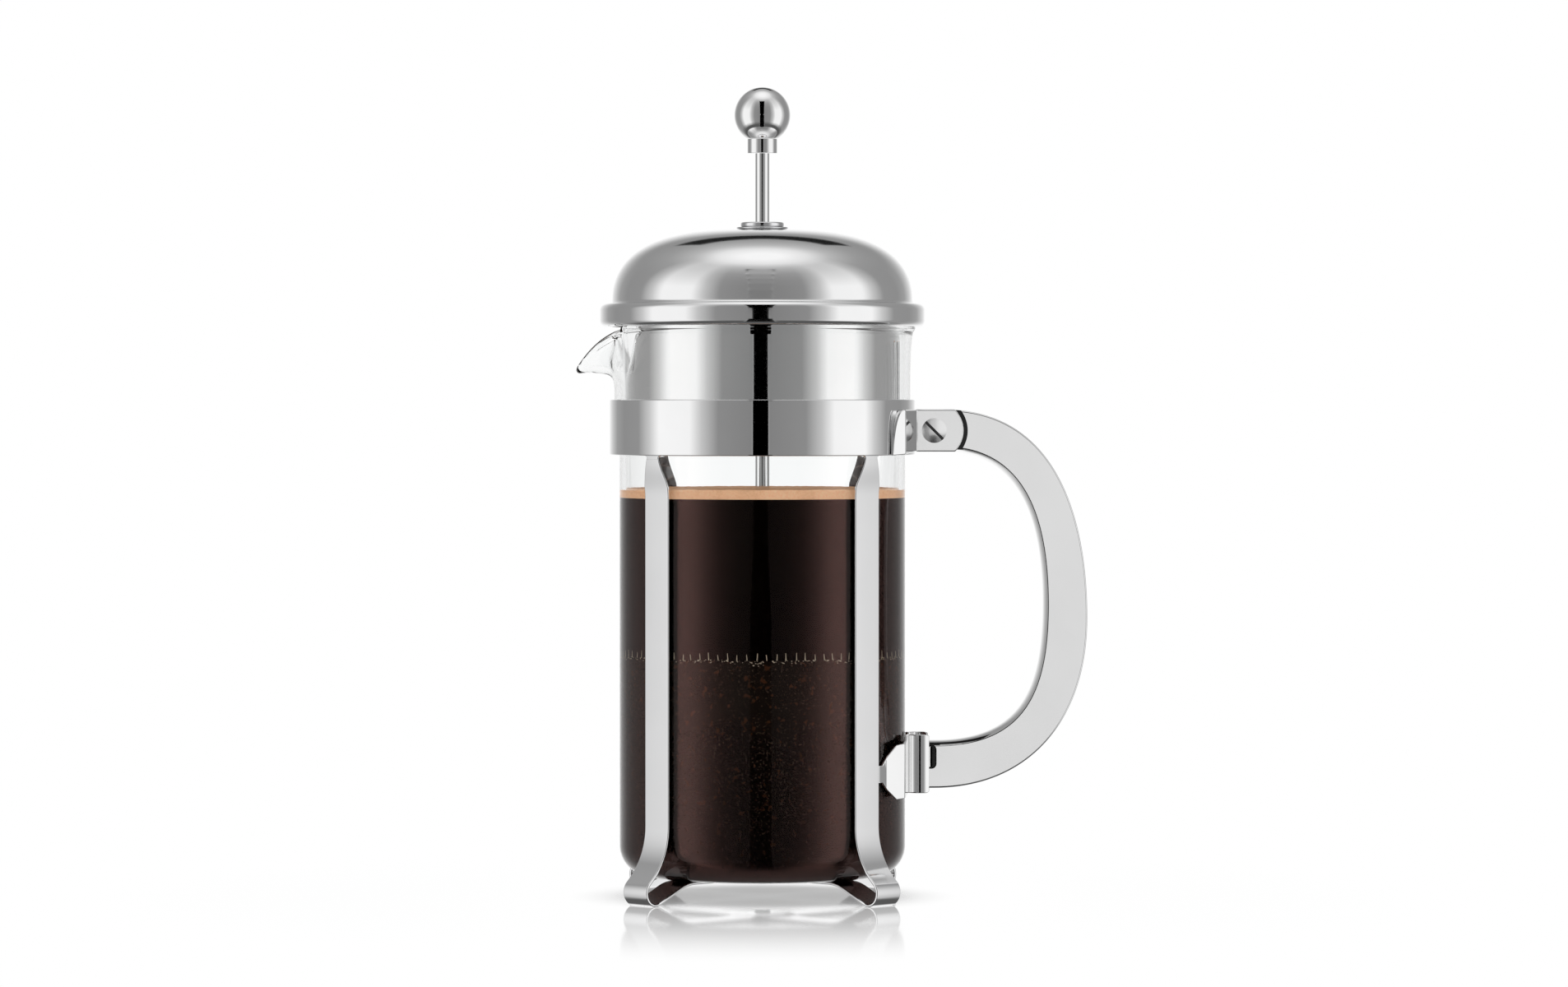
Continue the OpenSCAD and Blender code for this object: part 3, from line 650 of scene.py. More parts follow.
def handle(material, shadow_material):
    reach = high("handle").x
    lower_under = low("handle").z
    half = HANDLE_T / 2
    inner_x = reach - GRIP_W
    steps = 44
    outer = [(52.0, HANDLE_TOP), (56.0, HANDLE_TOP)]
    outer += bezier((60, HANDLE_TOP), (100.0, HANDLE_TOP), (reach, 122), (reach, GRIP_Z), steps)
    outer += bezier((reach, GRIP_Z), (reach, 59), (88.5, lower_under), (57, lower_under), steps)[1:]
    outer += [(53.0, lower_under), (49.6, lower_under)]
    inner = [(52.0, HANDLE_UNDER), (56.0, HANDLE_UNDER)]
    inner += bezier((60, HANDLE_UNDER), (85, HANDLE_UNDER), (inner_x, 127), (inner_x, 97.5), steps)
    inner += bezier((inner_x, 97.5), (inner_x, 68), (85.5, LOWER_TOP), (57, LOWER_TOP), steps)[1:]
    inner += [(53.0, LOWER_TOP), (49.6, LOWER_TOP)]
    sections = []
    for o, i in zip(outer, inner):
        o, i = Vector(o), Vector(i)
        across = i - o
        width = across.length
        across.normalize()
        crown = CROWN * min(1.0, max(0.02, (o.x - 58.0) / 12.0 if o.y > GRIP_Z else 1.0))
        bow = (half * half + crown * crown) / (2 * crown)
        across_side = [half * k / 7 for k in range(-6, 7)]
        swell = [(width - bow + math.sqrt(bow * bow - b * b), b, 0) for b in across_side]
        front, back = ([(0, b, 0.6), (width - crown, b, 0.35)] for b in (-half, half))
        outline = front + swell + back[::-1]
        sections.append([(o.x + across.x * a, b, o.y + across.y * a) for a, b in rounded(outline, 4)])
    piece = make("handle_grip", *skin(sections))
    recess = arc(*SCREW, RECESS_R, -90, 90, 40) + [(50.0, SCREW[1] + RECESS_R), (50.0, SCREW[1] - RECESS_R)]
    cutters = []
    for side in (-1, 1):
        for shape, depth in ((recess, CHEEK_T), (rounded(NOTCH, 6), NOTCH_DEPTH)):
            cutters.append(prism_data(shape, *sorted((side * (half - depth), side * (half + 2)))))
    piece = cut(piece, join(*cutters))
    place(piece, "frame", material, "handle_chrome", "handle")
    piece.data.materials.append(shadow_material)
    # painted shade: the faces inside the cheek's recess and the tab's notch take the near-black chrome
    for face in piece.data.polygons:
        x, y, z = face.center / MM
        depth = half - abs(y)
        in_recess = 0.04 < depth < CHEEK_T + 0.04 and math.dist((x, z), SCREW) < RECESS_R + 0.1
        in_notch = 0.5 < depth < NOTCH_DEPTH + 0.05 and x < 57.85 and z < 51.1
        if (in_recess or in_notch) and abs(face.normal.z) < 0.999:
            face.material_index = 1
        # painted shade also darkens the tight round where the flat side turns into the swell of the inner
        # side
        inward = face.normal.x * (62.0 - x) + face.normal.z * (100.0 - z) > 0
        if inward and 0.56 < abs(face.normal.y) < 0.97 and x > 66.5 and depth < 0.5:
            face.material_index = 1


def stand_along_y(data, x, z, y, towards):
    """A piece turned round Z laid along Y, with its foot at y and its top pointing towards +Y or -Y."""
    points = [(x + px, y + towards * pz, z + (py if towards < 0 else -py)) for px, py, pz in data[0]]
    return points, data[1]


def handle_screw(material, slot_shade_material):
    r, crown = 4.1, 0.6
    bow = (r * r + crown * crown) / (2 * crown)
    radii = [r * (1 - k / 8) for k in range(9)]
    dome = [(a, 0.55 + math.sqrt(bow * bow - a * a) - bow + crown) for a in radii]
    outline = [(0, -19.4), (2.5, -19.4), (2.5, 0), (r - 0.15, 0), (r, 0.15)] + dome
    data = stand_along_y(lathe_data(outline, 96), *SCREW, -HANDLE_T / 2, -1)
    piece = make("handle_screw_body", *data, sharp=50)
    c = math.sqrt(0.5)
    slot = [(-8, -0.46), (8, -0.46), (8, 0.46), (-8, 0.46)]
    slot = [(SCREW[0] + (a + b) * c, SCREW[1] + (b - a) * c) for a, b in slot]
    piece = cut(piece, prism_data(slot, -HANDLE_T / 2 - 3, -HANDLE_T / 2 - 0.42), sharp=40)
    place(piece, "frame", material, "fastener_steel", "handle_screw")
    piece.data.materials.append(slot_shade_material)
    # painted shade: the faces inside the slot take the near-black chrome
    for face in piece.data.polygons:
        x, y, z = face.center / MM
        if y < -HANDLE_T / 2 - 0.3 and abs((x - SCREW[0] + z - SCREW[1]) * c) < 0.465:
            face.material_index = 1


def handle_nut(material):
    r, h, dome_r = 4.6, 3.0, 3.6
    corners = [(*polar(r, 60 * k), z) for z in (0, h) for k in range(6)]
    faces = [tuple(range(5, -1, -1)), tuple(range(6, 12))]
    faces += [(i, (i + 1) % 6, (i + 1) % 6 + 6, i + 6) for i in range(6)]
    body = make("nut_part", *stand_along_y((corners, faces), *SCREW, HANDLE_T / 2, 1))
    body = applied(body, "BEVEL", 32, width=0.35 * MM, segments=3, limit_method="ANGLE",
                   angle_limit=math.radians(40))
    dome = [(x, h + z * 1.6 / dome_r) for x, z in arc(0, 0, dome_r, 0, 90, 9)]
    cap = [(0, h - 0.2), (dome_r, h - 0.2)] + dome
    cap_data = stand_along_y(lathe_data(cap, 72), *SCREW, HANDLE_T / 2, 1)
    piece = cut(body, cap_data, "UNION", 30)
    piece.name = "handle_cap_nut"
    place(piece, "frame", material, "fastener_steel", "handle_nut")


# ---- Beaker ----

GLASS_T = 2.0
NECK_R = 49.2
BEAD_R = high("glass_beaker").x
RIM_Z = high("glass_beaker").z
FLARE = (148.5, 157.5)
LIP_R = 1.25  # radius of the bead round the rim
CORNER_R = 10.0
SPOUT_HALF = 23.0  # half the angle that the spout takes up on the rim
SPOUT_FOOT = 164.0  # the spout starts to leave the wall at this height
SPOUT_REACH = -low("glass_beaker").x - 0.4
SPOUT_TIP_Z = 174.9
DROOP = (33.5, 156.6, 33.1)  # the spout's upper edge droops along this arc: centre r and z, radius


def wall(inset):
    """The wall from the middle of the base to the foot of the spout, as (r, z)."""
    bottom = STRAP_TOP + inset
    outline = [(0.0, bottom)] + [((beaker_r - CORNER_R) * k / 5, bottom) for k in range(1, 5)]
    outline += arc(beaker_r - CORNER_R, STRAP_TOP + CORNER_R, CORNER_R - inset, -90, 0, 14)
    outline += [(beaker_r - inset, z) for z in (40.0, 75.0, 110.0, 135.0)]
    return outline + ease(beaker_r - inset, FLARE[0], NECK_R - inset, FLARE[1], 10)


def rim_profile(share):
    """Middle line of the wall from the spout's foot up; share runs from 0, plain rim, to 1, spout's tip."""
    mid_r = NECK_R - GLASS_T / 2
    top = RIM_Z - LIP_R
    plain = bezier((mid_r, SPOUT_FOOT), (mid_r, SPOUT_FOOT + 12), (mid_r, top - 5), (BEAD_R - LIP_R, top), 14)
    tip = SPOUT_REACH - GLASS_T / 2
    beak = [(mid_r, SPOUT_FOOT), (mid_r, SPOUT_FOOT + 2.5)]
    beak += bezier((mid_r, SPOUT_FOOT + 5), (mid_r + 0.3, SPOUT_FOOT + 11), (mid_r + 2.2, SPOUT_FOOT + 11),
                   (tip, SPOUT_TIP_Z), 12)
    x, z, r = DROOP
    end_r = plain[-1][0] + (tip - plain[-1][0]) * share
    straight = top + (SPOUT_TIP_Z - top) * share
    droop = z + math.sqrt(r * r - (end_r - x) ** 2) + (1 - share) ** 2 * 1.9 + 0.9 * math.sin(math.pi * share)
    lift = droop - straight if share > 0 else 0.0
    path = []
    for i, (a, b) in enumerate(zip(plain, beak)):
        t = i / (len(plain) - 1)
        path.append((a[0] + (b[0] - a[0]) * share, a[1] + (b[1] - a[1]) * share + lift * t * t))
    return path


def spout_share(angle):
    """How far the rim has turned into the spout at an angle from its middle, in degrees."""
    t = min(1.0, abs(angle) / SPOUT_HALF)
    return ((1 + math.cos(math.pi * t)) / 2) ** 1.2


def glass(material):
    count = 288
    sections = []
    for k in range(count):
        angle = 360.0 * k / count
        share = spout_share(angle - 180.0)
        mid = rim_profile(share)
        n = normals(mid)
        outer, inner = wall(0) + [(NECK_R, 160.5)], wall(GLASS_T) + [(NECK_R - GLASS_T, 160.5)]
        for m, q in zip(mid, n):
            off = q * GLASS_T / 2
            outer.append((m[0] - off.x, m[1] - off.y))
            inner.append((m[0] + off.x, m[1] + off.y))
        end, q = mid[-1], n[-1]
        a = math.degrees(math.atan2(-q.y, -q.x))
        bead = arc(end[0] - q.x * 0.15, end[1] - q.y * 0.15, LIP_R, a - 12, a + 192, 12)
        loop = outer[:-1] + bead + inner[::-1][1:]
        sections.append([(*polar(r, angle), z) for r, z in loop])
    piece = make("beaker_glass", *skin(sections, ring=True, tube=False), sharp=60, weighted=False)
    place(piece, "beaker", material, "glass", "glass_beaker")


def coffee(material, foam, bubble_glints):
    gap = -0.06  # the coffee wets the glass, so that no air shows between them
    r = beaker_r - GLASS_T - gap
    bottom = STRAP_TOP + GLASS_T + gap
    corner_r = CORNER_R - GLASS_T - gap
    outline = [(0, bottom)] + arc(r - corner_r, bottom + corner_r, corner_r, -90, 0, 12)
    outline += [(r, z) for z in (40.0, 79.0, 82.0, 110.0, COFFEE_TOP)] + [(0, COFFEE_TOP)]
    place(lathe("coffee", outline, sharp=50), "beaker", material, None)
    wobble = random.Random(7)
    foot, level = COFFEE_TOP + 0.02, FOAM_TOP - 0.5
    top = [(r, foot), (r, FOAM_TOP - 0.7), (r - 0.25, FOAM_TOP - 0.05), (r - 1.0, FOAM_TOP - 0.45)]
    top += [(k, level) for k in (40.0, 30.0, 20.0, 10.0, 5.0, 0)] + [(0, foot)]
    data = lathe_data(top, 240)
    moved = []
    for x, y, z in data[0]:
        lift = wobble.uniform(-0.07, 0.07) if z > COFFEE_TOP + 0.1 and math.hypot(x, y) < r - 0.1 else 0.0
        moved.append((x, y, z + lift))
    place(make("coffee_foam", moved, data[1], sharp=60), "beaker", foam, None)
    place(grounds_line(r + 0.05, wobble), "beaker", bubble_glints, None)


def grounds_line(r, chance):
    """Bubbles, and slivers of painted light, along the line where the grounds begin."""
    parts = []
    pitch, bubbles = 3.2, 640
    count = round(2 * math.pi * r / pitch)
    for k in range(count):
        a = 360.0 * (k + chance.uniform(-0.06, 0.06)) / count
        tall = chance.uniform(1.7, 2.6)
        lean = chance.uniform(-0.25, 0.25)
        back, tip_z = r - 0.025, COFFEE_LINE + tall
        # painted light: each sliver is a thin light-coloured wedge that stands for a glint on the line
        sliver = [(back, -0.19, COFFEE_LINE), (back, 0.19, COFFEE_LINE), (r - 0.005, 0.10, COFFEE_LINE),
                  (back, lean - 0.09, tip_z), (back, lean + 0.09, tip_z)]
        parts.append(spin((sliver, [(0, 1, 4, 3), (0, 2, 3), (2, 1, 4), (2, 4, 3), (0, 1, 2)]), a))
    for k in range(bubbles):
        a = chance.uniform(0, 360)
        size = chance.uniform(0.08, 0.24) * (1.0 if chance.random() < 0.8 else 1.5)
        z = COFFEE_LINE - abs(chance.gauss(0, 0.55)) + 0.25 * math.sin(math.radians(a) * 9)
        ring = [(r - 0.01, y, z + 0.7 * up) for y, up in (polar(size, 60 * i) for i in range(6))]
        faces = [(i, (i + 1) % 6, 6) for i in range(6)] + [((i + 1) % 6, i, 7) for i in range(6)]
        parts.append(spin((ring + [(r + 0.012, 0, z), (r - 0.04, 0, z)], faces), a))
    return make("grounds_bubbles", *join(*parts), sharp=80, weighted=False)


# ---- Lid ----

LID_T = 0.8
LID_R = high("lid_dome").x - 0.01
DOME_Z = high("lid_dome").z
DOME_FOOT_R = 49.9
RIM_TOP = 197.3
COVE_R = 1.5
RIM_ROUND = 1.7


def lid_dome(material, rim_material):
    top = DOME_Z - LID_T / 2
    rim_top = RIM_TOP - LID_T / 2
    lip = low("lid_dome").z + LID_T / 2
    foot = DOME_FOOT_R - LID_T / 2
    edge = LID_R - LID_T / 2
    path = [(4.1, top)] + bezier((10.0, top), (38.0, top), (foot, 212.0), (foot, 198.4), 56)
    path += arc(foot + COVE_R, rim_top + COVE_R, COVE_R, 180, 250, 8)[1:]
    rim = arc(foot + COVE_R, rim_top + COVE_R, COVE_R, 240, 270, 4)
    rim += arc(edge - RIM_ROUND, rim_top - RIM_ROUND, RIM_ROUND, 90, 0, 10)
    rim += arc(edge - RIM_ROUND, lip + RIM_ROUND, RIM_ROUND, 0, -90, 10) + [(51.1, lip)]
    place(lathe("dome_shell", ribbon(path, LID_T), 224, sharp=60), "lid", material, "lid_steel", "lid_dome")
    place(lathe("dome_rim", ribbon(rim, LID_T), 224, sharp=60), "lid", rim_material, "lid_steel", "lid_dome")


def lid_skirt(material):
    r = 45.7
    z0, z1 = low("lid_skirt").z, high("lid_skirt").z
    flange = high("lid_skirt").x
    outline = rounded([(r - LID_T, z0, 0.3), (r, z0, 0.3), (r, z1 - LID_T, 0.6), (flange, z1 - LID_T, 0.3),
                       (flange, z1, 0.3), (r - LID_T, z1, 0.9)])
    piece = lathe("strainer_skirt", outline, 224)
    slots = []
    for k in range(10):
        ends = rounded([(-0.7, 161, 0.65), (0.7, 161, 0.65), (0.7, 185, 0.65), (-0.7, 185, 0.65)], 5)
        data = prism_data(ends, -2, 2)
        turned = [(r + y, x, z) for x, y, z in data[0]]
        slots.append(spin((turned, data[1]), (k - 4.5) * 4.5))
    piece = cut(piece, join(*slots))
    place(piece, "lid", material, "skirt_steel", "lid_skirt")


def rod_guide(material, washer_material):
    top = high("rod_guide").z
    bore = 2.38
    disc = 1.5
    outline = rounded([(bore, 208, 0.2), (4, 208, 0.3), (4, top - disc, 0), (7.2, top - disc, 0.35),
                       (7.2, top, 0.55), (bore, top, 0.35)], 5)
    place(lathe("guide_bushing", outline, 120), "rod_guide", material, "knob_chrome", "rod_guide")
    under = [(4.05, 0), (6.2, 0)] + bezier((6.6, 0), (7.4, 0), (8.1, 0.15), (8.5, 0.5), 6)
    over = bezier((8.1, 0.95), (7.8, 0.7), (7.6, 1.0), (7.0, 1.1), 5) + [(4.05, 1.1)]
    dish = [(r, DOME_Z + z) for r, z in under + arc(8.35, 0.72, 0.25, -45, 120, 5) + over]
    place(lathe("dished_washer", dish, 120), "rod_guide", washer_material, "fastener_steel", "guide_washer")


# ---- Plunger ----

def knob(material):
    r = high("knob_ball").x
    z = high("knob_ball").z - r
    collar_r = 4.93
    a = math.degrees(math.acos(collar_r / r))
    ball = [(0, z - math.sqrt(r * r - collar_r ** 2))] + arc(0, z, r, -a, 90, 72)[:-1] + [(0, z + r)]
    place(lathe("ball_knob", ball, 160, sharp=50), "plunger", material, "knob_chrome", "knob_ball")
    collar = annulus(2.33, collar_r, low("knob_collar").z, high("knob_collar").z, 0.18)
    place(lathe("knob_ferrule", collar, 120), "plunger", material, "knob_chrome", "knob_collar")


def rod(material):
    """The rod, whose mirror image is kept out of the satin dome, as are the knob's and the collar's."""
    outline = annulus(0, high("plunger_rod").x, low("plunger_rod").z, high("plunger_rod").z, 0.3)
    place(lathe("plunger_shaft", outline, 72), "plunger", material, "rod_steel", "plunger_rod")
    for name in ("plunger_shaft", "ball_knob", "knob_ferrule"):
        bpy.data.objects[name].visible_glossy = False


def edge_spring(material):
    """The coil round the filter plate's edge."""
    middle = (low("edge_spring") + high("edge_spring")) / 2
    wire = 0.32
    coil = (high("edge_spring").z - low("edge_spring").z) / 2 - wire
    major = high("edge_spring").x - wire - coil
    turns, steps, sides = 122, 10, 6
    sections = []
    total = turns * steps
    for k in range(total):
        a, b = 2 * math.pi * k / total, 2 * math.pi * k / steps
        radial, up = Vector((math.cos(a), math.sin(a), 0)), Vector((0, 0, 1))
        out = radial * math.cos(b) + up * math.sin(b)
        centre = radial * major + up * middle.z + out * coil
        tangent = Vector((-math.sin(a), math.cos(a), 0)) * (2 * math.pi * major / turns)
        tangent += (up * math.cos(b) - radial * math.sin(b)) * (2 * math.pi * coil)
        side = tangent.normalized().cross(out)
        turned = [2 * math.pi * m / sides for m in range(sides)]
        sections.append([tuple(centre + (out * math.cos(c) + side * math.sin(c)) * wire) for c in turned])
    piece = make("edge_coil", *skin(sections, ring=True), sharp=80, weighted=False)
    place(piece, "plunger", material, "spring_steel", "edge_spring")


def mesh_filter(material):
    r, z = high("mesh_filter").x, high("mesh_filter").z
    t, edge = 0.6, z - low("mesh_filter").z
    path = [(1.9, z - t / 2), (15, z - t / 2), (30, z - t / 2)] + arc(r - 1.0, z - 1.0, 0.7, 90, 0, 6)
    path += [(r - t / 2, z - edge + t / 2)]
    piece = lathe("mesh_disc", ribbon(path, t), sharp=60)
    place(piece, "plunger", material, "mesh_steel", "mesh_filter")


# ---- Studio ----

def grey(tone):
    """The colour, in linear light, of a display grey."""
    light = tone / 12.92 if tone <= 0.04045 else ((tone + 0.055) / 1.055) ** 2.4
    return light, light, light, 1.0


WHITE = (1.0, 1.0, 1.0, 1.0)
FLAG_X = -0.019  # the black flag's middle and half widths, as the sideways part of a direction
FLAG_NARROW = 0.100
FLAG_WIDE = 0.148
FLAG_H = 57.0  # half its height, in degrees


def ramp(world, value, stops):
    """A colour that goes through (place, display grey) stops as the value goes from 0 to 1."""
    made = node(world, "ShaderNodeValToRGB", {"Fac": value})
    elements = made.color_ramp.elements
    while len(elements) > 1:
        elements.remove(elements[-1])
    for index, (at, tone) in enumerate(stops):
        element = elements[0] if index == 0 else elements.new(at)
        element.position = at
        element.color = grey(tone)
    return made.outputs["Color"]


def studio():
    """A white room that reflects as two tall softboxes, a black flag between them and a light ceiling."""
    world = bpy.data.worlds.new("studio")
    bpy.context.scene.world = world
    world.use_nodes = True
    world.cycles.sampling_method = "NONE"
    world.node_tree.nodes.clear()

    def maths(operation, *values, **settings):
        return calculate(world, operation, *values, **settings)

    direction = node(world, "ShaderNodeTexCoord").outputs["Generated"]
    axes = node(world, "ShaderNodeSeparateXYZ", {"Vector": direction}).outputs
    forward = maths("MULTIPLY", axes["Y"], -1.0)
    azimuth = maths("ABSOLUTE", maths("ARCTAN2", axes["X"], forward))
    azimuth = maths("MULTIPLY", azimuth, 180 / math.pi)
    elevation = maths("MULTIPLY", maths("ARCSINE", axes["Z"]), 180 / math.pi)
    turn = maths("DIVIDE", azimuth, 180.0)
    height = maths("DIVIDE", maths("ADD", elevation, 90.0), 180.0)

    def round_about(*stops):
        """Greys by the angle from straight ahead, alike to the left and right."""
        return ramp(world, turn, [(degrees / 180, tone) for degrees, tone in stops])

    def upward(*stops):
        """Greys by the angle above the horizon."""
        return ramp(world, height, [((degrees + 90) / 180, tone) for degrees, tone in stops])

    def all_of(value, *others):
        for other in others:
            value = maths("MULTIPLY", value, other)
        return value

    # grey in front, a tall softbox on each side, and a white backdrop
    light = round_about((0.0, 0.51), (33.0, 0.56), (46.0, 0.78), (56.0, 0.98), (84.0, 0.99), (94.0, 0.80),
                        (107.0, 0.58), (125.0, 0.57), (180.0, 0.57))
    behind = round_about((128.0, 0.0), (142.0, 0.35), (155.0, 0.72), (170.0, 0.96), (178.0, 1.0))
    level = upward((-60.0, 0.0), (-45.0, 1.0), (6.0, 1.0), (13.0, 0.9), (20.0, 0.70), (27.0, 0.2),
                   (31.0, 0.0))
    light = mix_colour(world, all_of(behind, level), light, WHITE)

    # a soft ceiling, brightest overhead
    ceiling = upward((30.0, 0.60), (46.0, 0.66), (60.0, 0.77), (70.0, 0.92), (82.0, 1.0))
    level = upward((18.0, 0.0), (32.0, 0.54), (46.0, 0.74), (60.0, 0.92), (70.0, 1.0))
    light = mix_colour(world, level, light, ceiling)

    # the dark gap between the backdrop and the ceiling
    away = maths("SUBTRACT", 180.0, azimuth)
    middle = maths("MULTIPLY_ADD", away, 0.25, 36.5)
    off = maths("ABSOLUTE", maths("SUBTRACT", elevation, middle))
    tall = maths("MULTIPLY", maths("SUBTRACT", 6.2, off), 0.55, clamp=True)
    wide = maths("MULTIPLY", maths("SUBTRACT", 19.0, away), 0.6, clamp=True)
    light = mix_colour(world, all_of(tall, wide), light, grey(0.10))

    # the dim floor of the studio, beyond the table
    light = mix_colour(world, upward((-40.0, 1.0), (-28.0, 0.0)), light, grey(0.34))

    # the black flag by the camera, wider above and below than at the camera's own height, with a grey edge
    aside = maths("ABSOLUTE", maths("SUBTRACT", axes["X"], FLAG_X))
    tilt = maths("ABSOLUTE", elevation)
    width = maths("MULTIPLY", maths("SUBTRACT", tilt, 1.4), 1.4, clamp=True)
    width = maths("MULTIPLY_ADD", width, FLAG_WIDE - FLAG_NARROW, FLAG_NARROW)
    in_front = all_of(maths("LESS_THAN", tilt, FLAG_H), maths("GREATER_THAN", forward, 0.0))
    for margin, tone in ((0.014, 0.58), (0.0, 0.0)):
        flag = all_of(maths("LESS_THAN", aside, maths("ADD", width, margin)), in_front)
        light = mix_colour(world, flag, light, grey(tone))

    path = node(world, "ShaderNodeLightPath").outputs
    mirrored = maths("GREATER_THAN", path["Glossy Depth"], 0.5)
    # a ray that was only turned aside inside one wall of glass still looks out at the white room
    through = path["Transmission Depth"]
    one_wall = all_of(maths("GREATER_THAN", through, 0.5), maths("LESS_THAN", through, 3.5))
    within = all_of(one_wall, maths("LESS_THAN", forward, 0.2))
    # coffee behind its glass mirrors only the softboxes, and stays black in the middle
    softboxes = round_about((0.0, 0.0), (20.0, 0.0), (34.0, 0.27), (45.0, 0.48), (55.0, 0.79), (64.0, 1.0))
    brighter = node(world, "ShaderNodeVectorMath", {0: softboxes, 1: (3.0, 3.0, 3.0)}, operation="MULTIPLY")
    light = mix_colour(world, one_wall, light, brighter.outputs["Vector"])
    mirrored = all_of(mirrored, maths("SUBTRACT", 1.0, within))
    colour = mix_colour(world, mirrored, WHITE, light)
    background = node(world, "ShaderNodeBackground", {"Color": colour, "Strength": 1.0}).outputs["Background"]
    node(world, "ShaderNodeOutputWorld", {"Surface": background})


def linked_lamp(name, radiance, size, location, pieces):
    """An area lamp facing +Y that lights only these pieces."""
    data = bpy.data.lights.new(name, "AREA")
    data.shape = "RECTANGLE"
    data.size, data.size_y = size
    data.energy = radiance * math.pi * size[0] * size[1]
    lamp = bpy.data.objects.new(name, data)
    lamp.location = location
    lamp.rotation_euler = (math.radians(90), 0, 0)
    lamp.visible_camera = False
    bpy.context.scene.collection.objects.link(lamp)
    group = bpy.data.collections.new(name + "_lights")
    for piece in pieces:
        group.objects.link(piece)
    lamp.light_linking.receiver_collection = group


def lamps():
    """A softbox for the sides that face the camera, and a fill that hides the flag from the satin dome."""
    facing = [bpy.data.objects[name] for name in ("handle_grip", "cheek_front")]
    linked_lamp("handle_softbox", 0.74, (0.34, 0.60), (0.22, -1.2, 0.05), facing)
    linked_lamp("screw_glint", 0.62, (1.2, 1.2), (0.42, -1.2, 0.50), [bpy.data.objects["handle_screw_body"]])
    distance = 20.0
    steps = (-4.0, 14.0, 26.0, 36.0, 46.0, FLAG_H)
    for index, radiance in enumerate((0.21, 0.23, 0.26, 0.30, 0.38)):
        bottom, top = (distance * math.tan(math.radians(steps[index + k])) for k in (0, 1))
        reach = math.hypot(distance, (bottom + top) / 2)
        linked_lamp("dome_fill_%d" % index, radiance, (2 * FLAG_WIDE * reach, top - bottom),
                    (FLAG_X * reach, -distance, 0.2 + (bottom + top) / 2), [bpy.data.objects["dome_shell"]])


def floor():
    """A pale glossy table that mirrors the feet and fades."""
    table = bpy.data.materials.new("table")
    table.use_nodes = True
    table.node_tree.nodes.clear()
    at = node(table, "ShaderNodeTexCoord").outputs["Object"]
    flat = node(table, "ShaderNodeVectorMath", {0: at, 1: (1.0, 1.0, 0.0)}, operation="MULTIPLY")
    away = node(table, "ShaderNodeVectorMath", {0: flat.outputs["Vector"]}, operation="LENGTH")
    away = away.outputs["Value"]

    def fade(near, far, inside, outside):
        return remap(table, away, near, far, inside, outside, interpolation_type="SMOOTHSTEP")

    def mix(factor, a, b):
        return node(table, "ShaderNodeMixShader", {0: factor, 1: a, 2: b}).outputs["Shader"]

    # painted shade: straight under the glass the table shines less, so that more of its grey shows
    shine = calculate(table, "MULTIPLY", fade(0.045, 0.24, 0.62, 0.0), fade(0.036, 0.056, 0.54, 1.0))
    gloss = node(table, "ShaderNodeBsdfGlossy", {"Color": WHITE, "Roughness": 0.06}).outputs["BSDF"]
    light = node(table, "ShaderNodeEmission", {"Color": WHITE, "Strength": 1.0}).outputs["Emission"]
    # close to the feet the table takes a real contact shadow, deepened by painted shade, as its colour there
    # is grey; further out it is pure white
    shade = node(table, "ShaderNodeBsdfDiffuse", {"Color": (0.66, 0.66, 0.66, 1.0)}).outputs["BSDF"]
    top = mix(shine, mix(fade(0.040, 0.066, 0.85, 0.0), light, shade), gloss)
    # what mirrors the room does not mirror the table
    clear = node(table, "ShaderNodeBsdfTransparent").outputs["BSDF"]
    mirrored = node(table, "ShaderNodeLightPath").outputs["Is Glossy Ray"]
    node(table, "ShaderNodeOutputMaterial", {"Surface": mix(mirrored, top, clear)})
    r, z = 900.0, -0.02
    corners = [(-r, -r, z), (r, -r, z), (r, r, z), (-r, r, z)]
    piece = make("table_top", corners, [(0, 1, 2, 3)], weighted=False)
    wear(piece, table)


# ---- Build ----

add_camera()
bpy.context.scene.view_settings.view_transform = "Standard"
studio()
floor()

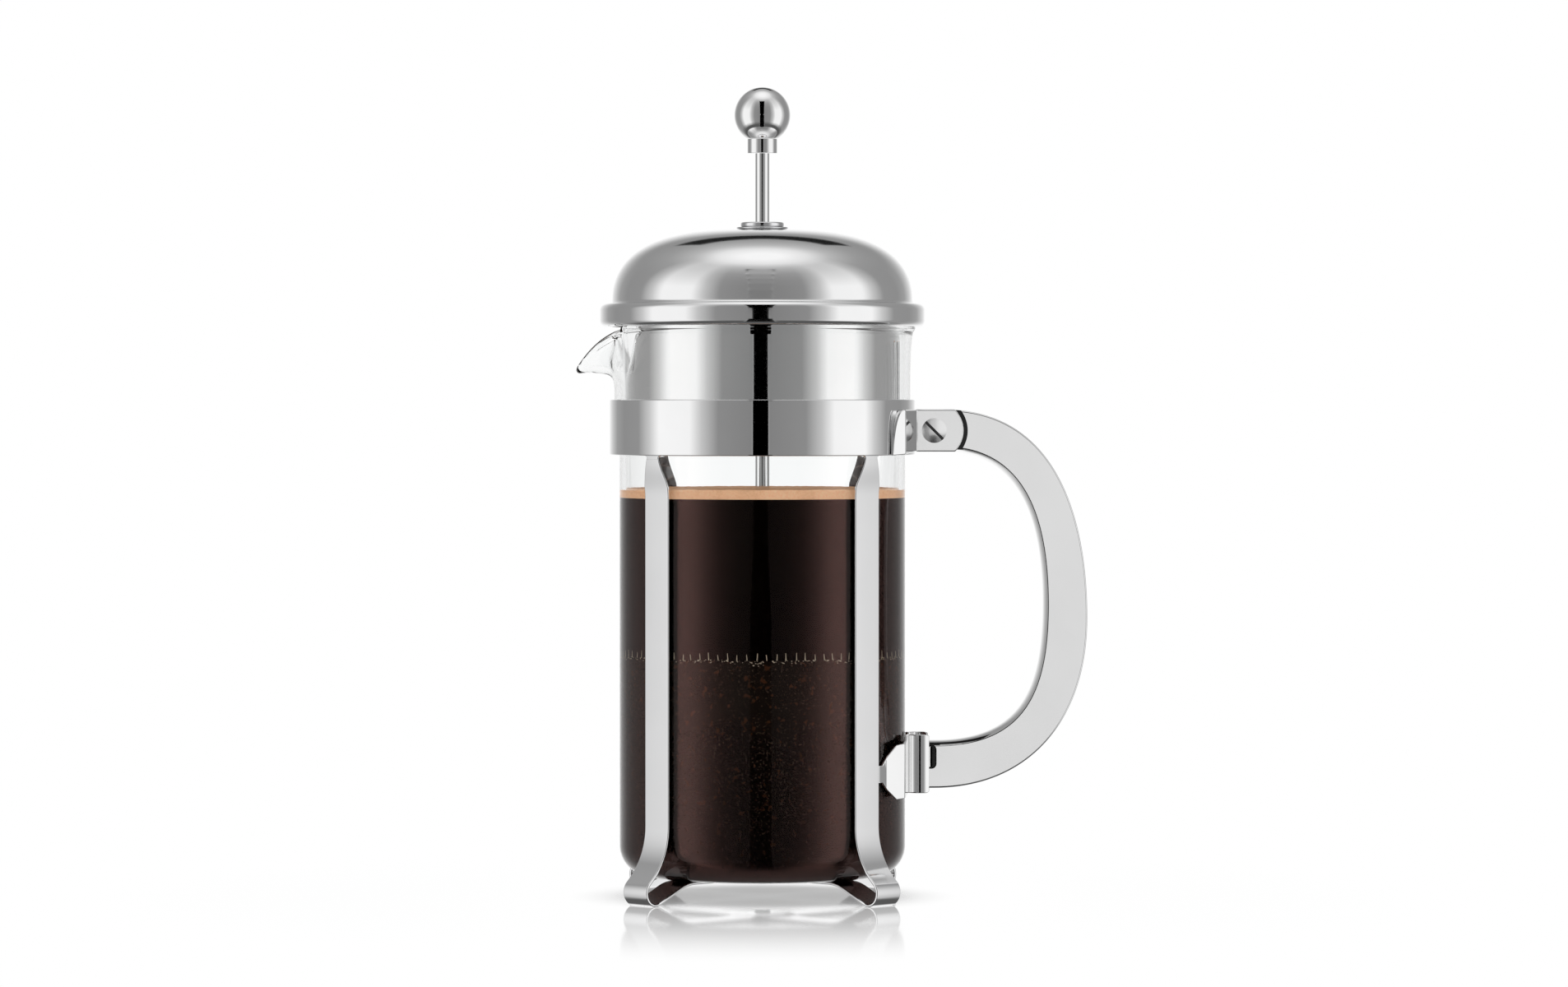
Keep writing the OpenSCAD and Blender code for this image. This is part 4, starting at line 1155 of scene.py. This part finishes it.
chrome = metal("polished_chrome", (0.95, 0.95, 0.952), 0.018, 0.022, 0.006)
rim_chrome = metal("rim_chrome", (0.94, 0.94, 0.942), 0.05, 0.03, 0.01)
leg_chrome = metal("leg_chrome", (0.955, 0.955, 0.96), 0.05, 0.04, 0.03, scratch=0.05)
knob_chrome = metal("knob_chrome", (0.93, 0.93, 0.93), 0.03, 0.03, 0.02)
handle_chrome = metal("handle_chrome", (0.95, 0.95, 0.95), 0.035, 0.04, 0.02, scratch=0.03)
satin_steel = metal("satin_steel", (0.93, 0.93, 0.932), 0.09, 0.025, 0.02, 2200.0, (1.0, 1.0, 0.15))
skirt_steel = metal("bright_steel", (0.97, 0.97, 0.97), 0.025, 0.03, 0.006)
filter_steel = metal("stamped_steel", (0.70, 0.70, 0.71), 0.2, 0.12, 0.12, scratch=0.2)
fastener_steel = metal("turned_steel", (0.86, 0.86, 0.87), 0.07, 0.06, 0.06)
rod_steel = metal("rod_steel", (0.95, 0.95, 0.95), 0.03, 0.03, 0.02)
spring_steel = metal("spring_steel", (0.68, 0.68, 0.69), 0.2, 0.1, 0.1)

frame_band(chrome)
strap("leg_front_right_rear_left", -45, 0, leg_chrome, "leg_strap_a")
strap("leg_front_left_rear_right", 45, SHEET, leg_chrome, "leg_strap_b")
keep("base_rivet", fastener_steel)
cheek("cheek_front", 1, handle_chrome, "handle_cheek_front")
cheek("cheek_rear", -1, handle_chrome, "handle_cheek_rear")
lug("lug_front", 1, handle_chrome, "handle_lug_front")
lug("lug_rear", -1, handle_chrome, "handle_lug_rear")
# painted shade: a near-black chrome for the handle's recesses, notches and inner round, and for the screw's
# slot
recess_chrome = metal("recess_chrome", (0.05, 0.05, 0.05), 0.25, 0.1, 0.05)
handle(handle_chrome, recess_chrome)
handle_screw(metal("screw_steel", (0.90, 0.90, 0.90), 0.20, 0.06, 0.08), recess_chrome)
handle_nut(fastener_steel)

glass(glass_material())
coffee(coffee_material(), foam_material(), bubble_glint_material())

lid_dome(satin_steel, rim_chrome)
lid_skirt(skirt_steel)
keep("lid_inner_plate", plastic_material())
rod_guide(fastener_steel, fastener_steel)
keep("guide_nut", fastener_steel)

knob(knob_chrome)
rod(rod_steel)
for plate in ("filter_hub", "spiral_plate", "cross_plate"):
    keep(plate, filter_steel)
edge_spring(spring_steel)
mesh_filter(weave_material())

lamps()
